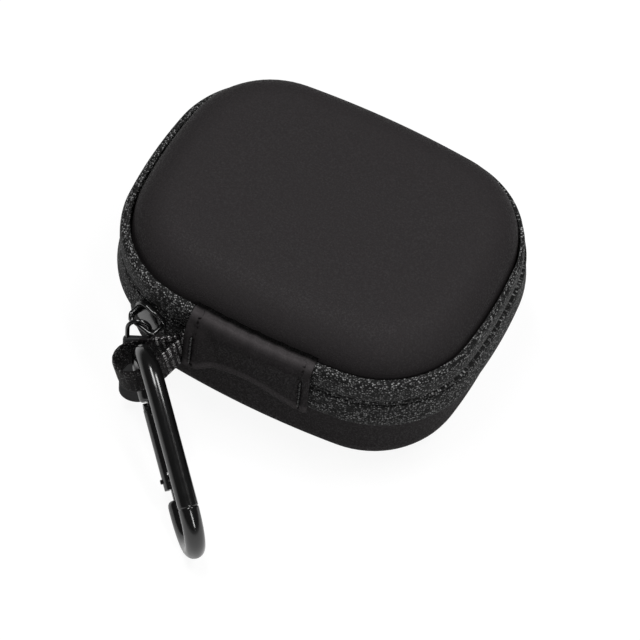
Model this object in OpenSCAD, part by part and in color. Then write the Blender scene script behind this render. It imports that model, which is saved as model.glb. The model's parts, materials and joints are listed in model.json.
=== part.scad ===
// Small zipped hard case for earbuds: two moulded foam half shells, a zip band
// round three sides, a flexing cover on the hinge side, a webbing loop and a
// snap hook. The origin is the middle of the flat base, +Z is up, X runs along
// the hinge and the hinge side faces -Y.

/* [Case outline] */
// Half length of the shells where they meet the zip band
half_l = 42.8; // [38:0.1:50]
// Half width of the shells where they meet the zip band
half_w = 34; // [31:0.1:40]
// Radius of the four corners, seen from above
corner_r = 23; // [20:0.5:26]
// Radius of the long, slightly bowed sides
long_side_r = 218; // [120:1:400]
// Radius of the short, slightly bowed sides
short_side_r = 116; // [90:1:300]
// Height of the lid over the zip line
lid_h = 17.3; // [16:0.1:26]
// Radius of the rounded edge at the top
top_edge_r = 10; // [8:0.1:10.2]
// Radius of the rounded edge at the base
base_edge_r = 8.5; // [7:0.5:12]
// Draft of the moulded walls
wall_draft = 0.4; // [0.2:0.1:0.8]

/* [Shell layers] */
// Thickness of the soft-touch skin
skin_t = 0.8; // [0.5:0.1:1.2]
// Thickness of the moulded foam
foam_t = 2.8; // [2:0.1:3.5]
// Thickness of the fabric lining
lining_t = 0.7; // [0.4:0.1:1]
// Thickness of the binding over the cut edge of a shell
binding_t = 0.6; // [0.4:0.1:0.8]
// Distance from the binding's inner edge to the rounded edge of the lid
binding_clear = 0.3; // [0.2:0.1:1.5]

/* [Zip band] */
// Height of the zip line over the base
zip_z = 29.2; // [28:0.1:32]
// Height of the upper tape, from the zip line to its sewn edge
upper_tape_h = 8.2; // [7.8:0.1:8.8]
// Height of the lower tape, from the zip line to its sewn edge
lower_tape_h = 7.6; // [7.2:0.1:8.4]
// Gap between the two tapes
tape_gap = 0.7; // [0.6:0.1:1]
// Thickness of a tape where it spans the gap between the shells
tape_t = 1.1; // [0.8:0.1:1.3]
// How far the tapes stand out at the zip line
tape_out = 2.2; // [2:0.1:2.4]
// How far the upper tape stands out at its fullest
upper_bulge = 2.6; // [2.4:0.1:2.8]
// How much closer the upper tape lies to the shell at the back
back_tuck = 1.5; // [0:0.1:1.6]
// How far the lower tape stands out at its sewn edge
lower_bulge = 2.9; // [2.6:0.1:3]
// Distance from the zip line to the cut edge of each shell
rim_gap = 4.5; // [4.4:0.1:5]
// Height of one half of the coil chain
coil_h = 2.1; // [1.6:0.1:2.4]
// Thickness of the coil chain
coil_t = 1.2; // [1:0.1:1.4]
// Half length of the stretch on the hinge side that has no zip
hinge_gap = 13; // [11:0.5:14]

/* [Hinge cover] */
// Half length of the cover
cover_half_l = 15.2; // [14.5:0.1:15.2]
// Thickness of the cover
cover_t = 1.1; // [0.8:0.1:1.4]
// How far the cover stands up over the webbing's tail
cover_lift = 2; // [1.8:0.1:2.4]
// How far the lower edge of the cover arches up at the middle
cover_arch = 3.2; // [0:0.1:4]
// Clearance between the cover and the tapes
cover_clear = 0.3; // [0.2:0.05:0.4]
// Number of stitches in each row
stitch_count = 6; // [4:1:8]
// Length of a stitch
stitch_l = 1.5; // [1:0.1:1.6]
// Radius of the stitches' thread
stitch_r = 0.3; // [0.2:0.05:0.35]
// Distance from the cover's end to its row of stitches
stitch_in = 2; // [1.6:0.1:2.4]

/* [Zip slider] */
// Distance along X from the cover's end to the slider's middle
slider_gap = 10.6; // [10:0.1:11.2]
// Length of the slider body
slider_l = 8.6; // [8:0.1:9.4]
// Height of the slider body
slider_h = 7.4; // [7:0.1:8]
// How far the front plate sits below the zip line
slider_drop = 1.2; // [0:0.1:1.4]
// Thickness of the slider plates
slider_t = 1.1; // [0.9:0.1:1.2]
// Clearance between the slider and the tapes
slider_clear = 0.35; // [0.25:0.05:0.45]
// How far the bridge's bar stands off the front plate
bridge_out = 3.2; // [3.1:0.1:3.6]
// Half length of the bridge
bridge_half_l = 3.6; // [3:0.1:3.8]
// Radius of the bridge's bar
bridge_bar_r = 0.55; // [0.45:0.05:0.7]
// Height of the bridge's broad foot
bridge_foot_h = 2.6; // [2:0.1:3.2]

/* [Pull] */
// Radius of the wire loop, to the middle of its wire
loop_r = 2.55; // [2.3:0.05:2.8]
// Radius of the loop's wire
pull_wire_r = 0.5; // [0.4:0.05:0.55]
// Free length of the loop's legs
loop_leg = 2.8; // [1.5:0.1:3]
// Length of the legs inside the tab
leg_seat = 3; // [2:0.5:4]
// Length of the pull tab
tab_l = 22; // [18:0.1:22.4]
// Width of the pull tab
tab_w = 8.4; // [7.6:0.1:9]
// Thickness of the pull tab
tab_t = 1.6; // [1.4:0.1:1.7]
// Place of the pull along the bar
pull_at = -0.4; // [-0.6:0.1:0.2]
// How far the pull leans outward
pull_lean = 6; // [5:0.5:7]
// How far the pull leans to the side
pull_side = 6; // [4:0.5:7]
// How far the pull is turned round its length
pull_turn = 50; // [48:1:54]

/* [Snap hook] */
// Overall length of the hook
hook_l = 50.2; // [46:0.1:54]
// Overall width of the hook
hook_w = 22.7; // [22.2:0.1:23.4]
// Thickness of the hook's rod
rod_d = 4.7; // [4.2:0.1:4.9]
// Thickness of the gate
gate_d = 4.2; // [3.4:0.1:4.4]
// Distance from the top bend's centre to the gate's pivot
pivot_x = 2.4; // [2:0.1:3]
// Distance from the top bend's centre to the gate's free end
gate_end_x = 21.6; // [19:0.1:22.4]
// Gap between the gate and the nose
nose_gap = 2.6; // [1.6:0.1:3]
// Radius of the gate's pivot pin
pivot_r = 0.6; // [0.5:0.05:0.7]
// Running clearance of the pin in the gate, each side
pivot_clear = 0.05; // [0.03:0.01:0.08]
// Distance along X from the webbing's root to the rod's middle in the loop
rod_along = 6.23; // [6.1:0.01:6.4]
// Distance along Y from the webbing's root to the rod's middle in the loop
rod_out = 7.56; // [7.4:0.01:7.7]
// How far the rod's middle lies over the webbing's root
rod_rise = 2.02; // [1.9:0.01:2.4]
// Direction of the spine, seen from above
hook_heading = -43.8; // [-45:0.1:-42]
// Slope of the spine, down to the lower bend
hook_pitch = 25.1; // [23:0.1:25.2]
// Turn of the hook round its spine
hook_roll = -86; // [-90:0.5:-84]

/* [Webbing loop] */
// Width of the webbing
web_w = 8.6; // [7:0.1:9]
// Thickness of the webbing
web_t = 0.8; // [0.6:0.1:0.9]
// Room inside the loop beyond the hook's rod
loop_room = 2.4; // [2.3:0.1:2.6]
// Distance from the root to the first bend of the loop
loop_x0 = 9.3; // [9:0.1:9.6]
// Distance from the root to the end bend of the loop
loop_x1 = 11.9; // [11:0.1:13]
// Sideways shift of the open part
loop_y = 1.35; // [1.3:0.05:1.5]
// Distance along X from the cover's end to the root, where the layers meet
root_gap = 1.2; // [1:0.05:1.4]
// Distance from the side of the shells out to the root
root_out = 3.9; // [3.8:0.1:4.1]
// How far the root lies below the zip line
root_drop = 4.2; // [3.8:0.1:4.6]
// Direction of the loop, seen from above
loop_heading = 222; // [220:1:224]
// How far the loop droops
loop_droop = 12; // [10:1:14]
// Where the sewn tail begins under the cover
web_tail_x = 12.6; // [11.5:0.1:13]
// Length of the sewn tail
web_tail_l = 4.4; // [4.3:0.1:5]

/* [Hidden] */

skin_color = [0.17, 0.165, 0.17];
foam_color = [0.11, 0.11, 0.115];
lining_color = [0.2, 0.2, 0.21];
tape_color = [0.13, 0.13, 0.13];
metal_color = [0.08, 0.08, 0.085];
steel_color = [0.5, 0.5, 0.52];

// Sampling of the outline: steps on a corner, a long side and a short side
corner_steps = 10;
long_steps = 4;
short_steps = 3;
edge_steps = 6;

// The corner arcs are tangent to both side arcs, so their centre is where two
// circles round the side arcs' centres cross.
long_c = [0, half_w - long_side_r];
short_c = [half_l - short_side_r, 0];
to_long = long_side_r - corner_r;
to_short = short_side_r - corner_r;
between = norm(short_c - long_c);
along = (to_long * to_long - to_short * to_short + between * between) / (2 * between);
aside = sqrt(to_long * to_long - along * along);
unit = (short_c - long_c) / between;
corner_c = long_c + along * unit + aside * [unit[1], -unit[0]];
long_half_a = atan2(corner_c[0], corner_c[1] - long_c[1]);
short_half_a = atan2(corner_c[1], corner_c[0] - short_c[0]);

// A station is [centre x, centre y, radius, angle] of a point on the outline
function arc_stations(c, r, a0, a1, steps) =
    [for (i = [0:steps]) [c[0], c[1], r, a0 + (a1 - a0) * i / steps]];
// A point of the outline, moved out by a distance
function at_station(s, out) = [s[0] + (s[2] + out) * cos(s[3]), s[1] + (s[2] + out) * sin(s[3])];
function without_last(v) = [for (i = [0:len(v) - 2]) v[i]];

hinge_c = [0, -long_c[1]];
three_sides = concat(
    without_last(arc_stations([corner_c[0], -corner_c[1]], corner_r,
        -90 + long_half_a, -short_half_a, corner_steps)),
    without_last(arc_stations(short_c, short_side_r, -short_half_a, short_half_a, short_steps)),
    without_last(arc_stations(corner_c, corner_r, short_half_a, 90 - long_half_a, corner_steps)),
    without_last(arc_stations(long_c, long_side_r, 90 - long_half_a, 90 + long_half_a, long_steps)),
    without_last(arc_stations([-corner_c[0], corner_c[1]], corner_r,
        90 + long_half_a, 180 - short_half_a, corner_steps)),
    without_last(arc_stations([-short_c[0], 0], short_side_r,
        180 - short_half_a, 180 + short_half_a, short_steps)),
    arc_stations([-corner_c[0], -corner_c[1]], corner_r,
        180 + short_half_a, 270 - long_half_a, corner_steps)
);
closed_outline = concat(
    three_sides,
    [for (i = [1:long_steps - 1])
        [hinge_c[0], hinge_c[1], long_side_r,
            270 - long_half_a + 2 * long_half_a * i / long_steps]]
);
hinge_gap_a = asin(hinge_gap / long_side_r);
open_outline = concat(
    [[hinge_c[0], hinge_c[1], long_side_r, -90 + hinge_gap_a]],
    three_sides,
    [[hinge_c[0], hinge_c[1], long_side_r, 270 - hinge_gap_a]]
);

// A closed sweep of a profile of [out, z] points round the whole outline
module ring_sweep(profile, stations) {
    n = len(stations);
    m = len(profile);
    points = [for (s = stations) for (p = profile) concat(at_station(s, p[0]), p[1])];
    faces = [for (i = [0:n - 1]) for (j = [0:m - 1])
        [i * m + j, i * m + (j + 1) % m, ((i + 1) % n) * m + (j + 1) % m, ((i + 1) % n) * m + j]];
    polyhedron(points, faces, convexity = 10);
}

// How far a station faces the back of the case, from 0 to 1
tuck_to = 70;
function backness(s) = pow(0.5 + 0.5 * cos(s[3] - tuck_to), 1.5);

// A sweep with two ends, for a band that stops beside the hinge. Its points
// over a height are drawn in at the back by up to tuck.
module open_sweep(profile, stations, tuck = 0, tuck_over = 0) {
    n = len(stations);
    m = len(profile);
    points = [for (s = stations) for (p = profile)
        let (in = p[1] > tuck_over && p[0] > tape_in ? tuck * backness(s) : 0)
        concat(at_station(s, p[0] - in), p[1])];
    sides = [for (i = [0:n - 2]) for (j = [0:m - 1])
        [i * m + j, i * m + (j + 1) % m, (i + 1) * m + (j + 1) % m, (i + 1) * m + j]];
    start = [for (j = [m - 1:-1:0]) j];
    end = [for (j = [0:m - 1]) (n - 1) * m + j];
    polyhedron(points, concat(sides, [start], [end]), convexity = 10);
}

// The rings of one moulded surface, from the cut rim to the flat face:
// [inset, height over the rim]. inset is how far inside the outer skin it lies.
function dome_rings(depth, edge_r, inset) =
    let (r = edge_r - inset, top = depth - inset)
    concat([[inset, 0]],
        [for (k = [0:edge_steps])
            let (a = 90 * k / edge_steps)
            [inset + wall_draft + r * (1 - cos(a)), top - r + r * sin(a)]]);

// One layer of a half shell, opening down, with its rim at height 0
module shell_layer(depth, edge_r, outer_inset, inner_inset) {
    n = len(closed_outline);
    outer = dome_rings(depth, edge_r, outer_inset);
    inner = dome_rings(depth, edge_r, inner_inset);
    k = len(outer);
    rings = concat(outer, [for (i = [k - 1:-1:0]) inner[i]]);
    points = [for (r = rings) for (s = closed_outline) concat(at_station(s, -r[0]), r[1])];
    walls = [for (i = [0:2 * k - 1]) if (i != k - 1) for (j = [0:n - 1])
        let (up = (i + 1) % (2 * k))
        [i * n + j, up * n + j, up * n + (j + 1) % n, i * n + (j + 1) % n]];
    outer_cap = [for (j = [n - 1:-1:0]) (k - 1) * n + j];
    inner_cap = [for (j = [0:n - 1]) k * n + j];
    polyhedron(points, concat(walls, [outer_cap], [inner_cap]), convexity = 10);
}

case_h = zip_z + lid_h;
upper_rim_z = zip_z + rim_gap;
lower_rim_z = zip_z - rim_gap;
upper_depth = case_h - upper_rim_z;
lower_depth = lower_rim_z;
foam_inset = skin_t;
lining_inset = skin_t + foam_t;
wall_t = skin_t + foam_t + lining_t;

module upper_place() translate([0, 0, upper_rim_z]) children();
module lower_place() translate([0, 0, lower_rim_z]) mirror([0, 0, 1]) children();

module upper_skin() color(skin_color) upper_place() shell_layer(upper_depth, top_edge_r, 0, foam_inset);
module upper_foam_shell() color(foam_color)
    upper_place() shell_layer(upper_depth, top_edge_r, foam_inset, lining_inset);
module upper_lining() color(lining_color)
    upper_place() shell_layer(upper_depth, top_edge_r, lining_inset, wall_t);
module lower_skin() color(skin_color) lower_place() shell_layer(lower_depth, base_edge_r, 0, foam_inset);
module lower_foam_shell() color(foam_color)
    lower_place() shell_layer(lower_depth, base_edge_r, foam_inset, lining_inset);
module lower_lining() color(lining_color)
    lower_place() shell_layer(lower_depth, base_edge_r, lining_inset, wall_t);

// The binding lies on the cut rim and turns in over the lining
binding_inset = wall_t + wall_draft;
binding_drop = upper_depth - top_edge_r - binding_clear;
function binding_profile() = [
    [-binding_inset - binding_t, binding_drop],
    [-binding_inset - binding_t, -binding_t],
    [-skin_t, -binding_t],
    [-skin_t, 0],
    [-binding_inset, 0],
    [-binding_inset, binding_drop]
];
module binding() ring_sweep([for (p = binding_profile()) p], closed_outline);
module upper_binding() color(tape_color) upper_place() binding();
module lower_binding() color(tape_color) lower_place() binding();

// Zip tapes: sewn over the skin at one edge, free at the zip line
upper_edge_z = zip_z + upper_tape_h;
lower_edge_z = zip_z - lower_tape_h;
upper_free_z = zip_z + tape_gap / 2;
lower_free_z = zip_z - tape_gap / 2;
tape_in = tape_out - tape_t;
ledge = 0.5;
function upper_tape_profile() = [
    [0, upper_rim_z],
    [tape_in, upper_rim_z - ledge],
    [tape_in, upper_free_z],
    [tape_out, upper_free_z],
    [upper_bulge, upper_rim_z - 1],
    [upper_bulge, upper_edge_z - 2],
    [upper_bulge - ledge, upper_edge_z - ledge],
    [upper_bulge - 3 * ledge, upper_edge_z],
    [0, upper_edge_z - ledge / 2]
];
function lower_tape_profile() = [
    [0, lower_edge_z + ledge / 2],
    [lower_bulge - 2 * ledge, lower_edge_z],
    [lower_bulge, lower_edge_z + ledge],
    [lower_bulge, lower_rim_z - ledge],
    [tape_out, lower_free_z],
    [tape_in, lower_free_z],
    [tape_in, lower_rim_z + ledge],
    [0, lower_rim_z]
];
module upper_zip_tape() color(tape_color)
    open_sweep(upper_tape_profile(), open_outline, back_tuck, upper_free_z + 1);
module lower_zip_tape() color(tape_color) open_sweep(lower_tape_profile(), open_outline);

// Coil chain, one half on the inner face of each tape
function coil_profile(z0, z1) = [
    [tape_in - coil_t, z0],
    [tape_in, z0],
    [tape_in, z1],
    [tape_in - coil_t, z1]
];
module upper_zip_coil() color(tape_color)
    open_sweep(coil_profile(upper_free_z, upper_free_z + coil_h), open_outline);
module lower_zip_coil() color(tape_color)
    open_sweep(coil_profile(lower_free_z - coil_h, lower_free_z), open_outline);

// Two clamped stops at the ends of the lower chain
stop_l = 2;
module zip_end_stops() color(metal_color)
    for (side = [-1, 1])
        translate([side * (hinge_gap - stop_l / 2 - 0.1), hinge_c[1], 0])
            rotate([0, 0, -90])
                translate([long_side_r + tape_in - coil_t, -stop_l / 2, lower_free_z - coil_h])
                    cube([coil_t, stop_l, coil_h]);

// Hinge cover: a strip of skin sewn over both shells, with an arched lower edge
cover_in = lower_bulge + cover_clear;
cover_out = cover_in + cover_t;
cover_top_z = upper_edge_z + cover_clear + 0.8;
cover_bottom_z = lower_edge_z - 0.3;
cover_shoulder_z = cover_top_z - 5.3;
cover_a = asin(cover_half_l / long_side_r);
cover_steps = 16;
function arch_up(u) = cover_arch * pow(cos(90 * u), 2);
// The cover rises over the webbing's tail at its -X end
function smooth(t) = t < 0 ? 0 : t > 1 ? 1 : t * t * (3 - 2 * t);
function lift_up(u) = cover_lift * smooth((-u - 0.5) / 0.3);
module hinge_cover() color(skin_color) {
    m = 11;
    points = [for (i = [0:cover_steps])
        let (
            u = 2 * i / cover_steps - 1,
            low = cover_bottom_z + arch_up(u),
            up = lift_up(u),
            s = [hinge_c[0], hinge_c[1], long_side_r, 270 + cover_a * u]
        )
        for (p = [
            [cover_in + up, low + 0.4],
            [cover_out + up - 0.3, low],
            [cover_out + up, low + 1],
            [cover_out + up * 0.75, cover_shoulder_z],
            [cover_out - 0.4, cover_top_z - 2.2],
            [cover_in - 0.9, cover_top_z - 0.3],
            [cover_in - 2, cover_top_z],
            [cover_in - 2, cover_top_z - 0.8],
            [cover_in - 0.85, cover_top_z - 1.4],
            [cover_in - 0.3, cover_top_z - 3.1],
            [cover_in + up * 0.75, cover_shoulder_z - 0.4]
        ]) concat(at_station(s, p[0]), p[1])];
    sides = [for (i = [0:cover_steps - 1]) for (j = [0:m - 1])
        [i * m + j, i * m + (j + 1) % m, (i + 1) * m + (j + 1) % m, (i + 1) * m + j]];
    start = [for (j = [m - 1:-1:0]) j];
    end = [for (j = [0:m - 1]) cover_steps * m + j];
    polyhedron(points, concat(sides, [start], [end]), convexity = 6);
}

// The inner strip joins the two shells behind the cover
strip_half_l = hinge_gap - stop_l - 0.6;
strip_t = 1.2;
module hinge_strip() color(tape_color)
    intersection() {
        translate([0, hinge_c[1], lower_rim_z - 2])
            difference() {
                cylinder(r = long_side_r + strip_t, h = 2 * rim_gap + 4, $fn = 360);
                translate([0, 0, -1])
                    cylinder(r = long_side_r + 0.05, h = 2 * rim_gap + 6, $fn = 360);
            }
        translate([-strip_half_l, -half_w - 2 * strip_t, 0]) cube([2 * strip_half_l, 4 * strip_t, case_h]);
    }

// One row of stitches through each end of the cover
stitch_x = cover_half_l - stitch_in;
stitch_u = stitch_x / cover_half_l;
stitch_low = cover_bottom_z + arch_up(stitch_u) + 1.6;
stitch_high = cover_shoulder_z - 0.3 - stitch_l;
module stitch_row(side) {
    up = side < 0 ? cover_lift : 0;
    a = asin(stitch_x / long_side_r);
    for (i = [0:stitch_count - 1])
        let (z = stitch_low + i * (stitch_high - stitch_low) / (stitch_count - 1))
        translate([0, hinge_c[1], z])
            rotate([0, 0, 270 + side * a])
                translate([long_side_r + cover_out + stitch_r + 0.02
                    + up * (1 - 0.25 * (z - stitch_low) / (cover_shoulder_z - stitch_low)), 0, 0])
                    cylinder(r = stitch_r, h = stitch_l, $fn = 16);
}
module cover_stitches() color(foam_color)
    for (side = [-1, 1])
        stitch_row(side);

// Slider: a flat front plate, a back plate on the lower chain and a thin post
// through the gap between the tapes. Its frame has X outward and Y along the zip.
slider_in = upper_bulge + slider_clear + 0.15;
slider_face = corner_r + slider_in + slider_t;
back_out = tape_in - coil_t - slider_clear;
slider_x = cover_half_l + slider_gap;
slider_at = 180 + acos((slider_x - corner_c[0]) / slider_face);
slider_half_a = asin(slider_l / 2 / slider_face);
post_t = tape_gap - 0.3;
slider_taper = 1.7;
module slider_place()
    translate([-corner_c[0], -corner_c[1], zip_z]) rotate([0, 0, slider_at]) children();
module slider_sector(r0, r1, z0, z1)
    rotate([0, 0, -slider_half_a])
        rotate_extrude(angle = 2 * slider_half_a, $fn = 360)
            translate([r0, z0]) square([r1 - r0, z1 - z0]);
// Front plate seen from outside: wide at the leading end, narrower behind
module slider_outline()
    union() {
        translate([0, -slider_l / 2 + slider_h / 2 * 0.9]) circle(d = slider_h, $fn = 64);
        polygon([
            [-slider_h / 2, -0.4],
            [slider_h / 2, -0.4],
            [slider_h / 2 - slider_taper, slider_l / 2],
            [-slider_h / 2 + slider_taper, slider_l / 2]
        ]);
    }
module slider_body() color(metal_color) slider_place() {
    translate([0, 0, -slider_drop])
        intersection() {
            slider_sector(corner_r + slider_in, slider_face + slider_t, -slider_h / 2, slider_h / 2);
            translate([slider_face - 2 * slider_t, 0, 0]) rotate([0, 90, 0])
                linear_extrude(height = 2 * slider_t) slider_outline();
        }
    slider_sector(corner_r + back_out - slider_t, corner_r + back_out,
        -slider_h / 2 + 0.4, post_t / 2);
    translate([corner_r + back_out - slider_t / 2, -slider_l / 2 + 0.6, -post_t / 2])
        cube([slider_in - back_out + slider_t / 2 + 0.4, 2.2, post_t]);
}

// Bridge: a staple on the front plate, broad at the leading end, with a round bar
bridge_bend = 1.2;
module slider_bridge() color(metal_color) slider_place()
    translate([slider_face, 0, -slider_drop]) {
        straight = bridge_half_l - bridge_bend;
        translate([bridge_out, -straight, 0])
            rotate([-90, 0, 0]) cylinder(r = bridge_bar_r, h = 2 * straight, $fn = 32);
        translate([bridge_out - bridge_bend, straight, 0])
            rotate_extrude(angle = 90, $fn = 96)
                translate([bridge_bend, 0]) circle(r = bridge_bar_r, $fn = 32);
        translate([0, bridge_half_l, 0])
            rotate([0, 90, 0]) cylinder(r = bridge_bar_r, h = bridge_out - bridge_bend, $fn = 32);
        translate([bridge_out - bridge_bend, -straight, 0])
            rotate([0, 0, -90])
                rotate_extrude(angle = 90, $fn = 96)
                    translate([bridge_bend - bridge_bar_r, -bridge_foot_h / 2])
                        square([2 * bridge_bar_r, bridge_foot_h]);
        translate([0, -bridge_half_l - bridge_bar_r, -bridge_foot_h / 2])
            cube([bridge_out - bridge_bend, 2 * bridge_bar_r, bridge_foot_h]);
    }

// The pull hangs from the bar. Its frame has X across, Y up and Z through it.
pull_drop = loop_r - pull_wire_r - bridge_bar_r - 0.35;
module pull_place()
    slider_place()
        translate([slider_face + bridge_out, pull_at, -slider_drop])
            rotate([pull_side, 0, 0]) rotate([0, -pull_lean, 0])
                rotate([0, 0, -pull_turn]) rotate([90, 0, 0])
                    children();
module leg_pair(r, top, h)
    for (side = [-1, 1])
        translate([side * loop_r, top, 0]) rotate([90, 0, 0]) cylinder(r = r, h = h, $fn = 32);
module pull_loop() color(metal_color) pull_place() {
    translate([0, -pull_drop, 0])
        rotate_extrude(angle = 180, $fn = 96)
            translate([loop_r, 0]) circle(r = pull_wire_r, $fn = 32);
    leg_pair(pull_wire_r, -pull_drop, loop_leg + leg_seat);
}

// Tab: moulded on the legs of the wire loop, wider below
tab_top = -pull_drop - loop_leg;
neck_w = 2 * (loop_r + pull_wire_r + 0.5);
neck_l = 5;
shoulder_l = 2;
tab_end_y = tab_top - tab_l + tab_w / 2;
module tab_outline()
    union() {
        polygon([
            [-neck_w / 2, tab_top],
            [-neck_w / 2, tab_top - neck_l],
            [-tab_w / 2, tab_top - neck_l - shoulder_l],
            [-tab_w / 2, tab_end_y],
            [tab_w / 2, tab_end_y],
            [tab_w / 2, tab_top - neck_l - shoulder_l],
            [neck_w / 2, tab_top - neck_l],
            [neck_w / 2, tab_top]
        ]);
        translate([0, tab_end_y]) circle(d = tab_w, $fn = 96);
    }
module pull_tab() color(skin_color) pull_place()
    difference() {
        translate([0, 0, -tab_t / 2]) linear_extrude(height = tab_t) tab_outline();
        leg_pair(pull_wire_r, tab_top + 1, leg_seat + 1);
    }

// Root of the webbing loop, where its two layers leave the hinge cover
root_x = -cover_half_l - root_gap;
root_y = -half_w - root_out;
root_z = zip_z - root_drop;

// Snap hook: its frame has X down the spine, Y from spine to gate, and its
// origin at the centre of the top bend
bend_r = (hook_w - rod_d) / 2;
bends_apart = hook_l - hook_w;
rod_x = root_x - rod_along;
rod_y = root_y - rod_out;
rod_z = root_z + rod_rise;
module hook_place() translate([rod_x, rod_y, rod_z])
    rotate([0, 0, hook_heading]) rotate([0, hook_pitch, 0]) rotate([hook_roll, 0, 0])
        translate([bend_r, 0, 0]) children();
module along_x(x0, x1, y, d) translate([x0, y, 0])
    rotate([0, 90, 0]) cylinder(d = d, h = x1 - x0, $fn = 64);
module across(x, d, h) translate([x, bend_r, -h / 2]) cylinder(d = d, h = h, $fn = 48);
module bend(x, from) translate([x, 0, 0]) rotate([0, 0, from])
    rotate_extrude(angle = 180, $fn = 128) translate([bend_r, 0]) circle(d = rod_d, $fn = 64);

lug_t = 1.4;
lug_d = 2.9;
nose_x = gate_end_x + nose_gap;
catch_x = gate_end_x - 2.2;
catch_d = 1.1;
tongue_t = 1.2;
tongue_h = 2.4;
module nose_tongue()
    difference() {
        translate([catch_x - 1.3, bend_r - tongue_h / 2, -tongue_t / 2])
            cube([nose_x - catch_x + 2, tongue_h, tongue_t]);
        across(catch_x, catch_d + 0.3, rod_d);
        translate([catch_x - catch_d / 2 - 0.15, bend_r - tongue_h, -rod_d / 2])
            cube([catch_d + 0.3, tongue_h, rod_d]);
    }
module hook_body() color(metal_color) hook_place()
    difference() {
        union() {
            along_x(0, bends_apart, -bend_r, rod_d);
            bend(0, 90);
            bend(bends_apart, -90);
            difference() {
                along_x(nose_x, bends_apart, bend_r, rod_d);
                translate([nose_x, bend_r + rod_d / 2, 0]) rotate([0, 0, 45])
                    translate([-rod_d, -1, -rod_d]) cube([rod_d, 2.4, 2 * rod_d]);
            }
            translate([-0.5, bend_r - lug_d / 2, -lug_t / 2]) cube([pivot_x + 0.5, lug_d, lug_t]);
            across(pivot_x, lug_d, lug_t);
            nose_tongue();
        }
        across(pivot_x, 2 * pivot_r, 2 * rod_d);
    }

fork_gap = lug_t + 0.3;
fork_end = pivot_x + lug_d / 2 + 0.3;
spring_bore = 2.1;
spring_end = 12;
slot_t = tongue_t + 0.4;
module hook_gate() color(metal_color) hook_place()
    difference() {
        union() {
            along_x(pivot_x, gate_end_x, bend_r, gate_d);
            across(pivot_x, 2.9, gate_d - 0.5);
        }
        translate([pivot_x - 3, bend_r - gate_d, -fork_gap / 2])
            cube([fork_end - pivot_x + 3, 2 * gate_d, fork_gap]);
        translate([catch_x - 1.7, bend_r - gate_d, -slot_t / 2])
            cube([gate_end_x - catch_x + 3, 2 * gate_d, slot_t]);
        across(pivot_x, 2 * (pivot_r + pivot_clear), 2 * gate_d);
        across(catch_x, catch_d, 2 * gate_d);
        translate([fork_end - 0.1, bend_r, 0]) rotate([0, 90, 0])
            cylinder(d = spring_bore, h = spring_end - fork_end, $fn = 32);
    }
module gate_pin() color(steel_color) hook_place() across(pivot_x, 2 * pivot_r, gate_d - 0.6);
plunger_x = pivot_x + lug_d / 2 + 0.05;
module gate_plunger() color(steel_color) hook_place()
    translate([plunger_x, bend_r, 0]) rotate([0, 90, 0]) {
        cylinder(d = 1, h = spring_end - plunger_x - 2, $fn = 24);
        cylinder(d = spring_bore - 0.5, h = 1.2, $fn = 32);
    }
module gate_spring() color(steel_color) hook_place()
    translate([plunger_x + 1.2, bend_r, 0]) rotate([0, 90, 0])
        difference() {
            cylinder(d = spring_bore - 0.2, h = spring_end - plunger_x - 1.35, $fn = 32);
            translate([0, 0, -1])
                cylinder(d = 1.2, h = spring_end - plunger_x + 2, $fn = 32);
        }
module latch_pin() color(metal_color) hook_place()
    across(catch_x, catch_d, gate_d + 1);

// Webbing loop: two layers from under the hinge cover, open round the hook.
// Its frame has X away from the case, Y outward and Z across the webbing.
loop_in_r = (rod_d + loop_room) / 2;
loop_out_r = loop_in_r + web_t;
tail_a = asin(web_tail_x / long_side_r);
tail_out = lower_bulge + 0.15 + web_t;
module loop_outline(r, root_half, x_start)
    union() {
        a = asin((r - root_half) / loop_x0);
        polygon([
            [x_start, -root_half],
            [loop_x0 - r * sin(a), loop_y - r * cos(a)],
            [loop_x0, loop_y],
            [loop_x0 - r * sin(a), loop_y + r * cos(a)],
            [x_start, root_half]
        ]);
        translate([loop_x0, loop_y]) circle(r = r, $fn = 64);
        translate([loop_x0, loop_y - r]) square([loop_x1 - loop_x0, 2 * r]);
        translate([loop_x1, loop_y]) circle(r = r, $fn = 64);
    }
module webbing_loop() color(lining_color) {
    translate([root_x, root_y, root_z])
        rotate([0, 0, loop_heading]) rotate([0, loop_droop, 0])
            translate([0, 0, -web_w / 2])
                linear_extrude(height = web_w)
                    difference() {
                        loop_outline(loop_out_r, web_t, 0.1);
                        loop_outline(loop_in_r, 0.02, 2.2);
                    }
    translate([0, hinge_c[1], 0]) rotate([0, 0, 270 - tail_a])
        translate([long_side_r + tail_out - web_t, 0, root_z - web_w / 2])
            mirror([0, 1, 0]) cube([2 * web_t, web_tail_l, web_w]);
}

upper_skin();
upper_foam_shell();
upper_lining();
upper_binding();
upper_zip_tape();
upper_zip_coil();
lower_skin();
lower_foam_shell();
lower_lining();
lower_binding();
lower_zip_tape();
lower_zip_coil();
zip_end_stops();
hinge_cover();
hinge_strip();
cover_stitches();
slider_body();
slider_bridge();
pull_loop();
pull_tab();
webbing_loop();
hook_body();
hook_gate();
gate_pin();
gate_plunger();
gate_spring();
latch_pin();
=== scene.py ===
"""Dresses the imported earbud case: shells, zip band, hinge cover, slider, pull, webbing and snap hook."""
import json
import math

import bmesh
import bpy
from bpy.props import FloatProperty, FloatVectorProperty, IntProperty, PointerProperty
from mathutils import Matrix, Vector


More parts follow.
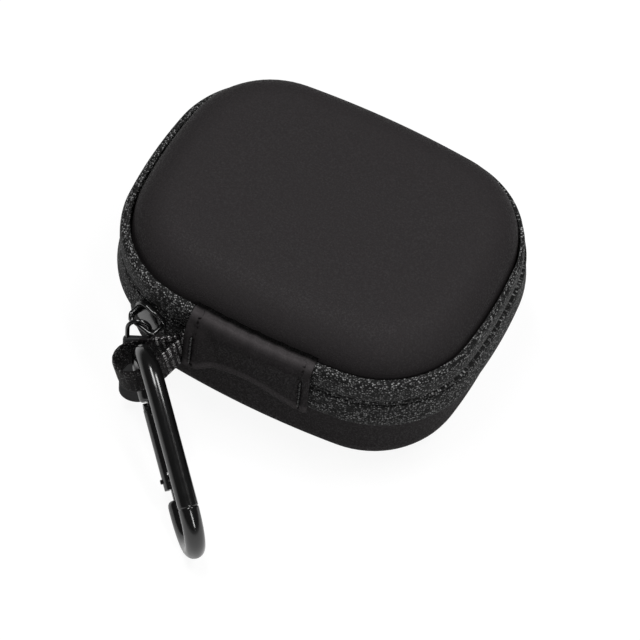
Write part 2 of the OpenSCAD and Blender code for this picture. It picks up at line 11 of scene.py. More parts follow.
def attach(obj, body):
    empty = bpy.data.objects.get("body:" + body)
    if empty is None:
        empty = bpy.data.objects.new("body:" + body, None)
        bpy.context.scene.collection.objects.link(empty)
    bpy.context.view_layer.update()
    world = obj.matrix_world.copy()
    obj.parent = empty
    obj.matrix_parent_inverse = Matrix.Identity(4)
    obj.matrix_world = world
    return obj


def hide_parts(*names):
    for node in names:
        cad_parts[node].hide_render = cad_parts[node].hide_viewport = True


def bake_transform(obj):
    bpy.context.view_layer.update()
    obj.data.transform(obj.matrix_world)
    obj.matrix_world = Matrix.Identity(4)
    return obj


bl_info = {
    "name": "Zipped Earbud Case",
    "version": (1, 0, 0),
    "blender": (4, 5, 0),
    "location": "3D View > Sidebar > Case",
    "description": "Builds the visual model of a small zipped hard case around its packed solids",
    "category": "Object",
}

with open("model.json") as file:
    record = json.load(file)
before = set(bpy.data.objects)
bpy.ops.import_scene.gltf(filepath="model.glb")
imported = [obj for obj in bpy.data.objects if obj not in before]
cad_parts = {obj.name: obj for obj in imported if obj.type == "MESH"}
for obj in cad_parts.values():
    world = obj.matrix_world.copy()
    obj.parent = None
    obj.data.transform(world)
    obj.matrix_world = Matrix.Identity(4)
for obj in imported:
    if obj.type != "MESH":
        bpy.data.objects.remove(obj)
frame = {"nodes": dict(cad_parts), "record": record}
MM = 0.001


def length(name, text, mm):
    return FloatProperty(name=name, description=text, default=mm * MM, unit="LENGTH")


def angle(name, text, degrees):
    return FloatProperty(name=name, description=text, default=math.radians(degrees), subtype="ANGLE")


def colour(name, text, rgb):
    return FloatVectorProperty(name=name, description=text, default=rgb, size=3, subtype="COLOR",
                               min=0.0, max=1.0)


class CASE_PG_shell(bpy.types.PropertyGroup):
    half_length: length("Half length", "Half length of the shells at the zip band", 42.8)
    half_width: length("Half width", "Half width of the shells at the zip band", 34.0)
    corner: length("Corner radius", "Radius of the corners seen from above", 23.0)
    long_side: length("Long side radius", "Radius of the bowed long sides", 218.0)
    short_side: length("Short side radius", "Radius of the bowed short sides", 116.0)
    height: length("Height", "Height of the closed case", 46.5)
    zip_line: length("Zip line", "Height of the zip line over the base", 29.2)
    rim_gap: length("Rim gap", "From the zip line to the cut rim of a shell", 4.5)
    top_edge: length("Top edge radius", "Rounding of the edge at the top", 10.0)
    base_edge: length("Base edge radius", "Rounding of the edge at the base", 8.5)
    draft: length("Draft", "Draft of the walls", 0.4)
    skin: length("Skin", "Thickness of the soft-touch skin", 0.8)
    foam: length("Foam", "Thickness of the moulded foam", 2.8)
    lining: length("Lining", "Thickness of the lining", 0.7)
    crown: length("Crown", "How far the flat faces rise at the middle", 0.35)


class CASE_PG_zip(bpy.types.PropertyGroup):
    tape_out: length("Tape", "How far the tapes stand out at the zip line", 2.2)
    tape_thick: length("Tape thickness", "Thickness of a tape at the zip line", 1.1)
    tape_gap: length("Tape gap", "Gap between the tapes", 0.7)
    upper_height: length("Upper tape", "From the zip line to the upper tape's sewn edge", 8.2)
    lower_height: length("Lower tape", "From the zip line to the lower tape's sewn edge", 7.6)
    upper_bulge: length("Upper bulge", "How far the upper tape stands out", 2.6)
    lower_bulge: length("Lower bulge", "How far the lower tape stands out", 2.9)
    back_tuck: length("Back tuck", "How much closer the upper tape lies at the back", 1.5)
    hinge_gap: length("Hinge gap", "Half length of the stretch without a zip", 13.0)
    coil_pitch: length("Coil pitch", "Distance between two turns of the coil", 1.25)
    coil_wire: length("Coil wire", "Radius of the coil's wire", 0.24)


class CASE_PG_cover(bpy.types.PropertyGroup):
    half_length: length("Half length", "Half length of the hinge cover", 15.2)
    thick: length("Thickness", "Thickness of the hinge cover", 1.1)
    lift: length("Lift", "How far the cover rises over the webbing's tail", 2.0)
    arch: length("Arch", "How far the lower edge arches up", 3.2)
    clear: length("Clearance", "From the tapes to the cover", 0.3)
    stitches: IntProperty(name="Stitches", description="Stitches in each row", default=6, min=2, max=12)


class CASE_PG_slider(bpy.types.PropertyGroup):
    place: angle("Place", "Where the slider stands on the corner, from +X", 256.08)
    length: length("Length", "Length of the slider's front plate", 8.6)
    height: length("Height", "Height of the slider's front plate", 7.4)
    drop: length("Drop", "How far the front plate sits below the zip line", 1.2)
    plate: length("Plate", "Thickness of the plates", 1.1)
    clear: length("Clearance", "From the tapes to the slider", 0.35)
    bridge_out: length("Bridge", "From the front plate to the bar's middle", 3.2)
    bridge_half: length("Bridge half length", "Half length of the bridge", 3.6)
    bar: length("Bar radius", "Radius of the bridge's bar", 0.55)
    foot: length("Foot", "Height of the bridge's broad foot", 2.6)


class CASE_PG_pull(bpy.types.PropertyGroup):
    loop: length("Loop radius", "Radius of the wire loop to its wire's middle", 2.55)
    wire: length("Wire radius", "Radius of the loop's wire", 0.5)
    leg: length("Leg", "Free length of the loop's legs", 2.8)
    tab_length: length("Tab length", "Length of the tab", 22.0)
    tab_width: length("Tab width", "Width of the tab", 8.4)
    tab_thick: length("Tab thickness", "Thickness of the tab", 1.6)
    along: length("Along", "Place of the pull along the bar", -0.4)
    lean: angle("Lean", "How far the pull leans outward", 6.0)
    side: angle("Side", "How far the pull leans to the side", 6.0)
    turn: angle("Turn", "How far the pull is turned round its length", 50.0)


class CASE_PG_hook(bpy.types.PropertyGroup):
    length: length("Length", "Overall length of the hook", 50.2)
    width: length("Width", "Overall width of the hook", 22.7)
    rod: length("Rod", "Thickness of the rod", 4.7)
    pivot: length("Pivot", "From the top bend's centre to the gate's pivot", 2.4)
    gate_end: length("Gate end", "From the top bend's centre to the gate's free end", 21.6)
    nose_gap: length("Nose gap", "Gap between the gate and the nose", 2.6)
    heading: angle("Heading", "Direction of the spine seen from above", -43.8)
    pitch: angle("Pitch", "Slope of the spine", 25.1)
    roll: angle("Roll", "Turn of the hook round its spine", -86.0)


class CASE_PG_webbing(bpy.types.PropertyGroup):
    width: length("Width", "Width of the webbing", 8.6)
    thick: length("Thickness", "Thickness of the webbing", 0.8)
    gap: length("Gap", "Clear width inside the loop", 7.1)
    near: length("First bend", "From the root to the first bend", 9.3)
    far: length("End bend", "From the root to the end bend", 11.9)
    shift: length("Shift", "Sideways shift of the open part", 1.35)
    heading: angle("Heading", "Direction of the loop seen from above", 222.0)
    droop: angle("Droop", "How far the loop droops", 12.0)
    rib: length("Rib pitch", "Distance between two ribs of the weave", 1.45)
    tail: length("Tail", "Length of the tail under the cover", 4.4)
    tack: length("Tack", "How far the tack reaches from the root", 5.6)


class CASE_PG_finish(bpy.types.PropertyGroup):
    skin: colour("Skin", "Colour of the soft-touch skin", (0.0252, 0.0229, 0.0237))
    foam: colour("Foam", "Colour of the foam", (0.02, 0.02, 0.021))
    lining: colour("Lining", "Colour of the lining", (0.035, 0.035, 0.037))
    tape: colour("Zip tape", "Colour of the zip tapes", (0.0085, 0.0085, 0.0085))
    fleck: colour("Fleck", "Colour of the bright threads in the tapes", (0.35, 0.35, 0.35))
    metal: colour("Metal", "Colour of the black coat on the metal", (0.0035, 0.0035, 0.0036))
    tab: colour("Tab", "Colour of the pull tab", (0.040, 0.040, 0.042))
    webbing: colour("Webbing", "Colour of the webbing's valleys", (0.0055, 0.0045, 0.005))
    tack: colour("Tack", "Colour of the thread of the webbing's tack", (0.6, 0.59, 0.59))
    thread: colour("Thread", "Colour of the sewing thread", (0.026, 0.026, 0.026))
    steel: colour("Steel", "Colour of plain steel", (0.5, 0.5, 0.52))
    floor: colour("Floor", "Colour of the floor", (0.3, 0.3, 0.3))


SHEETS = {
    "case_shell": (CASE_PG_shell, "Shells"),
    "case_zip": (CASE_PG_zip, "Zip band"),
    "case_cover": (CASE_PG_cover, "Hinge cover"),
    "case_slider": (CASE_PG_slider, "Slider"),
    "case_pull": (CASE_PG_pull, "Pull"),
    "case_hook": (CASE_PG_hook, "Snap hook"),
    "case_webbing": (CASE_PG_webbing, "Webbing loop"),
    "case_finish": (CASE_PG_finish, "Finishes"),
}


def sheet(name):
    """One group of the scene's properties."""
    return getattr(bpy.context.scene, "case_" + name)


# Outline of the case seen from above

class Station:
    """A point of the outline: the centre and radius of its arc and its angle there."""

    def __init__(self, centre, radius, turn):
        self.centre, self.radius, self.turn = centre, radius, turn

    def at(self, out, z):
        reach = self.radius + out
        return Vector((self.centre[0] + reach * math.cos(self.turn),
                       self.centre[1] + reach * math.sin(self.turn), z))


def corner_centre():
    """The centre of the corner at +X and +Y, whose arc touches those of both sides."""
    s = sheet("shell")
    long_c = Vector((0, s.half_width - s.long_side))
    short_c = Vector((s.half_length - s.short_side, 0))
    to_long, to_short = s.long_side - s.corner, s.short_side - s.corner
    between = (short_c - long_c).length
    along = (to_long ** 2 - to_short ** 2 + between ** 2) / (2 * between)
    aside = math.sqrt(to_long ** 2 - along ** 2)
    unit = (short_c - long_c) / between
    return long_c + along * unit + aside * Vector((unit.y, -unit.x))


def arc(centre, radius, start, end, steps):
    """Stations along an arc, without its end."""
    return [Station(centre, radius, start + (end - start) * i / steps) for i in range(steps)]


def hinge_arc_station(turn):
    """The station of the hinge side's arc at an angle."""
    s = sheet("shell")
    return Station((0, s.long_side - s.half_width), s.long_side, turn)


def outline(is_open, corner_steps=16):
    """The stations round the case, from the hinge side's +X end. Open, it has a gap there for the hinge."""
    s = sheet("shell")
    c = corner_centre()
    long_y, short_x = s.half_width - s.long_side, s.half_length - s.short_side
    long_half, short_half = math.atan2(c.x, c.y - long_y), math.atan2(c.y, c.x - short_x)
    back = math.pi / 2
    bend = back - long_half - short_half
    long_steps, short_steps = 16, 10
    stations, turn = [], long_half - back
    # Each corner, as the signs of its centre, and the side that follows it
    for x, y, centre, radius, half, steps in (
            (1, -1, (short_x, 0), s.short_side, short_half, short_steps),
            (1, 1, (0, long_y), s.long_side, long_half, long_steps),
            (-1, 1, (-short_x, 0), s.short_side, short_half, short_steps),
            (-1, -1, (0, -long_y), s.long_side, long_half, long_steps)):
        stations += arc((x * c.x, y * c.y), s.corner, turn, turn + bend, corner_steps)
        turn += bend + 2 * half
        stations += arc(centre, radius, turn - 2 * half, turn, steps)
    if not is_open:
        return stations
    gap = math.asin(sheet("zip").hinge_gap / s.long_side)
    before = [hinge_arc_station(gap - back + (long_half - gap) * k / 3) for k in range(3)]
    after = [hinge_arc_station(-st.turn - 2 * back) for st in before]
    return before + stations[:1 - long_steps] + after[::-1]


# Modelling helpers

def flat(x, y):
    """A point of the XY plane."""
    return Vector((x, y, 0))


def cut_corners(points):
    """Rounds a closed profile by cutting each corner at a quarter of its edges."""
    return [p for a, b in zip(points, points[1:] + points[:1])
            for p in (a.lerp(b, 0.25), a.lerp(b, 0.75))]


def profile(pairs):
    """A closed profile with cut corners, from pairs in millimetres."""
    return cut_corners([Vector((a * MM, b * MM)) for a, b in pairs])


def loft(rows, loop=False):
    """Extrudes a closed row through the others, to a ring or to capped ends. Its UV map is in metres."""
    bm = bmesh.new()
    row = [bm.verts.new(p) for p in rows[0]]
    first = edges = [bm.edges.new(pair) for pair in zip(row, row[1:] + row[:1])]
    steps = [0.0]
    for a, b in zip(rows[0], rows[0][1:]):
        steps.append(steps[-1] + (b - a).length)
    along = 0.0
    place = {v: (along, t) for v, t in zip(row, steps)}
    for before, points in zip(rows, rows[1:]):
        made = bmesh.ops.extrude_edge_only(bm, edges=edges)["geom"]
        fresh = {v for v in made if isinstance(v, bmesh.types.BMVert)}
        row = [next(e.other_vert(v) for e in v.link_edges if e.other_vert(v) in fresh) for v in row]
        edges = [e for e in made if isinstance(e, bmesh.types.BMEdge) and set(e.verts) <= fresh]
        along += sum((b - a).length for a, b in zip(before, points)) / len(points)
        for v, p, t in zip(row, points, steps):
            v.co = p
            place[v] = (along, t)
    if loop:
        bmesh.ops.bridge_loops(bm, edges=first + edges)
    else:
        for end in (first, edges):
            bmesh.ops.contextual_create(bm, geom=end)
    uv = bm.loops.layers.uv.new("weave")
    for face in bm.faces:
        for corner in face.loops:
            corner[uv].uv = place[corner.vert]
    return bm


def tube(path, radii, sides=20, up=Vector((0, 0, 1))):
    """A round rod along a path, its frame carried along without twist."""
    rows = []
    ahead = (path[1] - path[0]).normalized()
    side = ahead.cross(up).normalized()
    for i, point in enumerate(path):
        near = path[max(i - 1, 0)]
        far = path[min(i + 1, len(path) - 1)]
        ahead = (far - near).normalized()
        side = (side - ahead * side.dot(ahead)).normalized()
        rise = ahead.cross(side)
        r = radii[i] if isinstance(radii, list) else radii
        rows.append([point + r * (math.cos(t) * side + math.sin(t) * rise)
                     for t in (2 * math.pi * k / sides for k in range(sides))])
    return loft(rows)


def round_ends(path, radius, steps):
    """The path and radii of a rod whose two ends are domed."""
    head = (path[0] - path[1]).normalized()
    tail = (path[-1] - path[-2]).normalized()
    turns = [math.pi / 2 * (i + 0.4) / (steps + 0.4) for i in range(steps)]
    whole = [(path[0] + head * radius * (math.cos(t) - 1), radius * math.sin(t)) for t in turns]
    whole.append((path[0] - head * radius, radius))
    whole += [(p, radius) for p in path
              if (p - path[0]).length > radius and (p - path[-1]).length > radius]
    whole.append((path[-1] - tail * radius, radius))
    whole += [(path[-1] + tail * radius * (math.cos(t) - 1), radius * math.sin(t)) for t in turns[::-1]]
    return [p for p, r in whole], [r for p, r in whole]


def turn_path(centre, radius, start, end, steps, to3=flat):
    """Points on an arc in the plane that to3 maps into space."""
    return [to3(centre[0] + radius * math.cos(a), centre[1] + radius * math.sin(a))
            for a in (start + (end - start) * i / steps for i in range(steps + 1))]


def bevel(bm, edges, width, segments):
    """Rounds the edges over."""
    bmesh.ops.bevel(bm, geom=edges, offset=width, segments=segments, profile=0.5, affect="EDGES",
                    material=-1, clamp_overlap=True)


def block(size, width, segments, place):
    """A block with bevelled edges."""
    bm = bmesh.new()
    bmesh.ops.create_cube(bm, size=1, matrix=Matrix.Diagonal((*size, 1)))
    bevel(bm, bm.edges[:], width, segments)
    bmesh.ops.transform(bm, matrix=place, verts=bm.verts)
    return bm


def plate(points, low, high, width, segments=3):
    """A flat plate with rounded edges, from an outline of (x, y) points."""
    bm = bmesh.new()
    face = bm.faces.new([bm.verts.new((x, y, low)) for x, y in points])
    made = bmesh.ops.extrude_face_region(bm, geom=[face])["geom"]
    raised = [v for v in made if isinstance(v, bmesh.types.BMVert)]
    bmesh.ops.translate(bm, vec=(0, 0, high - low), verts=raised)
    bmesh.ops.recalc_face_normals(bm, faces=bm.faces)
    rims = [e for e in bm.edges if abs(e.verts[0].co.z - e.verts[1].co.z) < 1e-7]
    bevel(bm, rims, width, segments)
    return bm


def join(bm, *others):
    """Adds other meshes to one, and frees them."""
    for other in others:
        mesh = bpy.data.meshes.new("part")
        other.to_mesh(mesh)
        other.free()
        bm.from_mesh(mesh)
        bpy.data.meshes.remove(mesh)
    return bm


def finish(name, bm, coat, body=None, replaces=(), place=None, sharp=40):
    """Makes a piece of a mesh: placed, smoothed, given its finish, and set on its body."""
    if place is not None:
        bmesh.ops.transform(bm, matrix=place, verts=bm.verts)
    bmesh.ops.remove_doubles(bm, verts=bm.verts, dist=1e-7)
    bmesh.ops.recalc_face_normals(bm, faces=bm.faces)
    for face in bm.faces:
        face.smooth = True
    for edge in bm.edges:
        edge.smooth = edge.calc_face_angle(0) < math.radians(sharp)
    mesh = bpy.data.meshes.new(name)
    bm.to_mesh(mesh)
    bm.free()
    piece = bpy.data.objects.new(name, mesh)
    bpy.context.scene.collection.objects.link(piece)
    mesh.materials.append(coat)
    if replaces:
        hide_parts(*replaces)
    if body:
        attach(piece, body)
    return piece


# Finishes

WHITE = (1, 1, 1)
PER_MM = (1000, 1000, 1000)


def shader(name, rgb, roughness, metallic=0.0, sheen=0.0, specular=0.5):
    mat = bpy.data.materials.new(name)
    mat.use_nodes = True
    bsdf = mat.node_tree.nodes["Principled BSDF"]
    bsdf.inputs["Base Color"].default_value = (*rgb, 1)
    bsdf.inputs["Roughness"].default_value = roughness
    bsdf.inputs["Metallic"].default_value = metallic
    bsdf.inputs["Sheen Weight"].default_value = sheen
    bsdf.inputs["Sheen Roughness"].default_value = 0.4
    bsdf.inputs["Specular IOR Level"].default_value = specular
    mat.diffuse_color = (*rgb, 1)
    return mat


def node(mat, kind, **values):
    made = mat.node_tree.nodes.new(kind)
    for key, value in values.items():
        setattr(made, key, value)
    return made


def wire(mat, source, target):
    mat.node_tree.links.new(source, target)


def paint(mat, output, socket="Base Color"):
    wire(mat, output, mat.node_tree.nodes["Principled BSDF"].inputs[socket])


def position(mat, scale=PER_MM, uv=None):
    """Object coordinates, or the piece's own UV map, scaled. They are in millimetres by default."""
    if uv:
        source = node(mat, "ShaderNodeUVMap", uv_map=uv).outputs["UV"]
    else:
        source = node(mat, "ShaderNodeTexCoord").outputs["Object"]
    mapping = node(mat, "ShaderNodeMapping")
    mapping.inputs["Scale"].default_value = scale
    wire(mat, source, mapping.inputs["Vector"])
    return mapping.outputs["Vector"]


def begin(name, key, roughness, scale=PER_MM, uv=None, **more):
    """A new finish in one of the colours of the sheet: its material, the colour and its coordinates."""
    rgb = tuple(getattr(sheet("finish"), key))
    mat = shader(name, rgb, roughness, **more)
    return mat, rgb, position(mat, scale, uv)


def part(mat, vector, axis):
    made = node(mat, "ShaderNodeSeparateXYZ")
    wire(mat, vector, made.inputs["Vector"])
    return made.outputs[axis]


def texture(mat, kind, vector, inputs, **values):
    """A texture node read at the given coordinates."""
    made = node(mat, kind, **values)
    for key, value in inputs.items():
        made.inputs[key].default_value = value
    wire(mat, vector, made.inputs["Vector"])
    return made.outputs


def noise(mat, vector, scale, detail=2.0, roughness=0.5):
    inputs = {"Scale": scale, "Detail": detail, "Roughness": roughness}
    return texture(mat, "ShaderNodeTexNoise", vector, inputs)["Fac"]


def cells(mat, vector, scale):
    return texture(mat, "ShaderNodeTexVoronoi", vector, {"Scale": scale}, feature="F1")["Distance"]


def bands(mat, vector, scale, direction="X", distortion=0.0):
    inputs = {"Scale": scale, "Distortion": distortion, "Detail": 1.0}
    return texture(mat, "ShaderNodeTexWave", vector, inputs, bands_direction=direction)["Fac"]


def warped(mat, vector, scale, reach):
    """The coordinates, pushed about by a noise."""
    push = texture(mat, "ShaderNodeTexNoise", vector, {"Scale": scale})["Color"]
    moved = node(mat, "ShaderNodeVectorMath", operation="MULTIPLY_ADD")
    wire(mat, push, moved.inputs[0])
    moved.inputs[1].default_value = (reach, reach, reach)
    wire(mat, vector, moved.inputs[2])
    return moved.outputs["Vector"]


def beads(mat, vector, scale):
    """One bead of thread in each cell, some brighter than others."""
    cell = texture(mat, "ShaderNodeTexVoronoi", vector, {"Scale": scale}, feature="F1")
    parts = node(mat, "ShaderNodeSeparateColor")
    wire(mat, cell["Color"], parts.inputs["Color"])
    crown = tones(mat, cell["Distance"], WHITE, (0.2, 1), (0.6, 0))
    share = tones(mat, parts.outputs["Red"], WHITE, (0.05, 0.15), (0.95, 1))
    return maths(mat, "MULTIPLY", crown, share)


def ramp(mat, value, stops):
    """A colour ramp from (place, rgb) stops."""
    made = node(mat, "ShaderNodeValToRGB")
    ends = made.color_ramp.elements
    while len(ends) < len(stops):
        ends.new(0.5)
    for end, (place, rgb) in zip(ends, stops):
        end.position = place
        end.color = (*rgb, 1)
    wire(mat, value, made.inputs["Fac"])
    return made.outputs["Color"]


def tint(rgb, k):
    return tuple(min(1.0, c * k) for c in rgb)


def tones(mat, value, rgb, *stops):
    """One colour, darker and lighter over a value, from (place, factor) stops."""
    return ramp(mat, value, [(place, tint(rgb, k)) for place, k in stops])


def maths(mat, kind, a, b=None):
    made = node(mat, "ShaderNodeMath", operation=kind)
    for socket, value in zip(made.inputs, (a, b)):
        if value is None:
            continue
        if isinstance(value, (int, float)):
            socket.default_value = value
        else:
            wire(mat, value, socket)
    return made.outputs["Value"]


def laid_over(mat, share, ground, rgb):
    """A plain colour over a patterned ground, where its share is 1."""
    mix = node(mat, "ShaderNodeMix", data_type="RGBA")
    wire(mat, share, mix.inputs["Factor"])
    wire(mat, ground, mix.inputs["A"])
    mix.inputs["B"].default_value = (*rgb, 1)
    return mix.outputs["Result"]


def emboss(mat, height, strength, distance):
    """Bump from a height, on the shader."""
    made = node(mat, "ShaderNodeBump")
    made.inputs["Strength"].default_value = strength
    made.inputs["Distance"].default_value = distance
    wire(mat, height, made.inputs["Height"])
    paint(mat, made.outputs["Normal"], "Normal")


def grain(mat, at, rgb):
    """The skin's colour: a fine mottle with a few lighter specks."""
    mottle = noise(mat, at, 1.7, 4.0, 0.8)
    return tones(mat, mottle, rgb, (0.28, 0.88), (0.5, 1), (0.68, 1.16), (0.8, 1.5))


def soft_surface(mat, at):
    """A satin surface whose finest grains catch the light."""
    fine = noise(mat, at, 3.2, 3.0, 0.7)
    gleam = noise(mat, at, 2.6, 1.0)
    paint(mat, tones(mat, fine, WHITE, (0.3, 0.5), (0.7, 0.62)), "Roughness")
    paint(mat, tones(mat, gleam, WHITE, (0.45, 0.012), (0.8, 0.13)), "Specular IOR Level")
    emboss(mat, maths(mat, "ADD", fine, cells(mat, at, 2.4)), 0.25, 0.00012)


def skin_finish():
    mat, rgb, at = begin("soft_touch_skin", "skin", 0.5, specular=0.1)
    paint(mat, grain(mat, at, rgb))
    soft_surface(mat, at)
    return mat


def cover_finish(half, inset):
    """The skin of the hinge cover, with painted highlights along its hem and top fold, painted shade on the
    lip, and the dark needle holes of the two seams.
    """
    mat, rgb, at = begin("stitched_skin", "skin", 0.5, specular=0.1)
    cloth = position(mat, uv="weave")
    # Distance from the nearer seam, in mm
    off_middle = maths(mat, "ABSOLUTE", part(mat, at, "X"))
    away = maths(mat, "ABSOLUTE", maths(mat, "SUBTRACT", off_middle, (half - inset) / MM))
    near = tones(mat, away, WHITE, (0.3, 1), (0.75, 0))
    blots = tones(mat, noise(mat, cloth, 0.75, 1.0), WHITE, (0.5, 0), (0.6, 1))
    # Round the section from the lower edge: a painted highlight on its hem, the plain face, a painted
    # highlight on the top fold and painted shade on the lip
    span = 25
    round_it = maths(mat, "MULTIPLY", part(mat, cloth, "Y"), 1 / span)
    painted_fold_light = tones(mat, round_it, WHITE, (0.03, 0.35), (0.07, 0.7), (0.11, 0.6), (0.14, 0.3), (0.66, 0.3),
                  (0.69, 0.45), (0.735, 0.86), (0.77, 0.55), (0.8, 0.3), (0.82, 0.03))
    # The grain, lightened by the painted highlights and darkened by the painted shade along the section
    grain_with_painted_light = node(mat, "ShaderNodeVectorMath", operation="MULTIPLY")
    wire(mat, grain(mat, at, tint(rgb, 2.6)), grain_with_painted_light.inputs[0])
    wire(mat, painted_fold_light, grain_with_painted_light.inputs[1])
    hole = maths(mat, "MULTIPLY", near, blots)
    paint(mat, laid_over(mat, hole, grain_with_painted_light.outputs["Vector"], tint(rgb, 0.12)))
    soft_surface(mat, at)
    return mat


def foam_finish():
    mat, rgb, at = begin("closed_cell_foam", "foam", 0.8)
    pores = cells(mat, at, 1.4)
    paint(mat, tones(mat, pores, rgb, (0.1, 0.7), (0.6, 1.4)))
    emboss(mat, pores, 0.5, 0.0002)
    return mat


def lining_finish():
    mat, rgb, at = begin("knitted_lining", "lining", 0.75, sheen=0.4)
    knit = maths(mat, "ADD", cells(mat, at, 1.7), maths(mat, "MULTIPLY", noise(mat, at, 0.25), 0.5))
    paint(mat, tones(mat, knit, rgb, (0.2, 0.7), (0.9, 1.25)))
    emboss(mat, knit, 0.4, 0.0002)
    return mat


def binding_finish():
    mat, rgb, at = begin("folded_binding", "tape", 0.7, sheen=0.3)
    weave = bands(mat, at, 1.1, "DIAGONAL", 0.4)
    paint(mat, tones(mat, weave, rgb, (0.1, 0.8), (0.9, 1.9)))
    emboss(mat, weave, 0.4, 0.00015)
    return mat


def tape_finish():
    """Knitted tape: dark ground with bright, uneven beads of thread."""
    mat, rgb, at = begin("knitted_tape", "tape", 0.6, (1000, 1350, 1000), "weave", specular=0.08)
    fleck = tuple(sheet("finish").fleck)
    at = warped(mat, at, 2.0, 0.35)
    bead = beads(mat, at, 1.9)
    fine = noise(mat, at, 3.5, 2.0, 0.6)
    paint(mat, ramp(mat, bead, [(0.12, rgb), (0.45, tint(fleck, 0.3)), (0.9, fleck)]))
    emboss(mat, maths(mat, "ADD", bead, maths(mat, "MULTIPLY", fine, 0.35)), 0.7, 0.0002)
    return mat


def coil_finish():
    mat, rgb, at = begin("moulded_coil", "tape", 0.3)
    paint(mat, tones(mat, noise(mat, at, 0.8), rgb, (0.3, 1), (0.7, 1.5)))
    return mat


def metal_finish(name="gloss_black_metal"):
    """Metal under a glossy black coat."""
    mat, rgb, at = begin(name, "metal", 0.14, specular=0.7)
    wear = noise(mat, at, 0.5, 5.0, 0.65)
    paint(mat, tones(mat, wear, rgb, (0.3, 0.85), (0.75, 1.15)))
    paint(mat, tones(mat, wear, WHITE, (0.35, 0.14), (0.8, 0.21)), "Roughness")
    emboss(mat, noise(mat, at, 1.5, 2.0), 0.02, 0.0001)
    return mat


def plain_steel_finish():
    mat, _, at = begin("plain_steel", "steel", 0.3, (1000, 1000, 200), metallic=1.0)
    paint(mat, tones(mat, noise(mat, at, 3.0), WHITE, (0.3, 0.22), (0.7, 0.4)), "Roughness")
    return mat


def tab_finish():
    mat, rgb, at = begin("satin_tab", "tab", 0.45, specular=0.2)
    paint(mat, tones(mat, noise(mat, at, 0.4, 4.0, 0.6), rgb, (0.3, 0.8), (0.7, 1.2)))
    paint(mat, tones(mat, noise(mat, at, 2.0), WHITE, (0.3, 0.4), (0.7, 0.5)), "Roughness")
    emboss(mat, noise(mat, at, 3.5, 2.0), 0.15, 0.00006)
    return mat


def thread_finish():
    mat, rgb, at = begin("twisted_thread", "thread", 0.5, uv="weave", specular=0.4)
    twist = bands(mat, at, 1.6, "DIAGONAL")
    paint(mat, tones(mat, twist, rgb, (0.1, 0.4), (0.9, 1.8)))
    emboss(mat, twist, 0.5, 0.00012)
    return mat


def webbing_finish(half_loop):
    """Dark woven webbing. Rows of short light threads near its root are the tack that closes the loop."""
    w, tack = sheet("webbing"), tuple(sheet("finish").tack)
    mat, rgb, at = begin("woven_webbing", "webbing", 0.6, uv="weave", specular=0.08)
    # A wave texture of scale 1 has a period of pi / 10
    ribs = bands(mat, at, math.pi / 10 / (w.rib / MM), "X", 1.6)
    bead = beads(mat, warped(mat, at, 1.2, 0.5), 2.0)
    strokes = beads(mat, warped(mat, position(mat, (1000, 2200, 1000), "weave"), 1.6, 0.6), 1.4)
    # Distance from the loop's end, in mm: half_loop is at the root
    reach = maths(mat, "ABSOLUTE", maths(mat, "SUBTRACT", part(mat, at, "X"), half_loop / MM))
    past = maths(mat, "SUBTRACT", reach, (half_loop - w.tack) / MM)
    root = tones(mat, past, WHITE, (0.0, 0), (0.4, 1))
    rows = maths(mat, "MULTIPLY", tones(mat, ribs, WHITE, (0.5, 0), (0.7, 1)), root)
    light = maths(mat, "MULTIPLY", rows, strokes)
    ground = ramp(mat, bead, [(0.25, rgb), (0.9, tint(tack, 0.3))])
    paint(mat, laid_over(mat, tones(mat, light, WHITE, (0.08, 0), (0.45, 1)), ground, tack))
    emboss(mat, maths(mat, "ADD", bead, light), 0.7, 0.0002)
    return mat


MADE = {}


def material(maker, *words):
    """Each finish is made once."""
    key = (maker.__name__, *words)
    if key not in MADE:
        MADE[key] = maker(*words)
    return MADE[key]


# Frames of the fittings

def spin(turn, axis):
    return Matrix.Rotation(turn, 4, axis)


def slider_place():
    """Its origin is on the zip line at the corner's centre, and its X points outward."""
    c = corner_centre()
    return Matrix.Translation((-c.x, -c.y, sheet("shell").zip_line)) @ spin(sheet("slider").place, "Z")


def slider_face():
    """How far the front plate's face stands from the corner's centre."""
    s = sheet("slider")
    return sheet("shell").corner + sheet("zip").upper_bulge + s.clear + 0.15 * MM + s.plate


def pull_place():
    """Its origin is on the bridge's bar, and the pull hangs along its -Y."""
    s, p = sheet("slider"), sheet("pull")
    bar = Matrix.Translation((slider_face() + s.bridge_out, p.along, -s.drop))
    turns = spin(p.side, "X") @ spin(-p.lean, "Y") @ spin(-p.turn, "Z") @ spin(math.pi / 2, "X")
    return slider_place() @ bar @ turns


def hook_place():
    """Its origin is the centre of the hook's top bend, and its X runs down the spine."""
    h = sheet("hook")
    joint = next(j for j in frame["record"]["behaviour"]["joints"] if j["name"] == "hook_swing")
    turns = spin(h.heading, "Z") @ spin(h.pitch, "Y") @ spin(h.roll, "X")
    return Matrix.Translation(joint["pos_m"]) @ turns


# Where the webbing loop comes out from under the cover
ROOT = Vector((-16.4 * MM, -37.9 * MM, 25.0 * MM))


def loop_place():
    """Its X runs out through the webbing loop."""
    w = sheet("webbing")
    return Matrix.Translation(ROOT) @ spin(w.heading, "Z") @ spin(w.droop, "Y")


# Shells

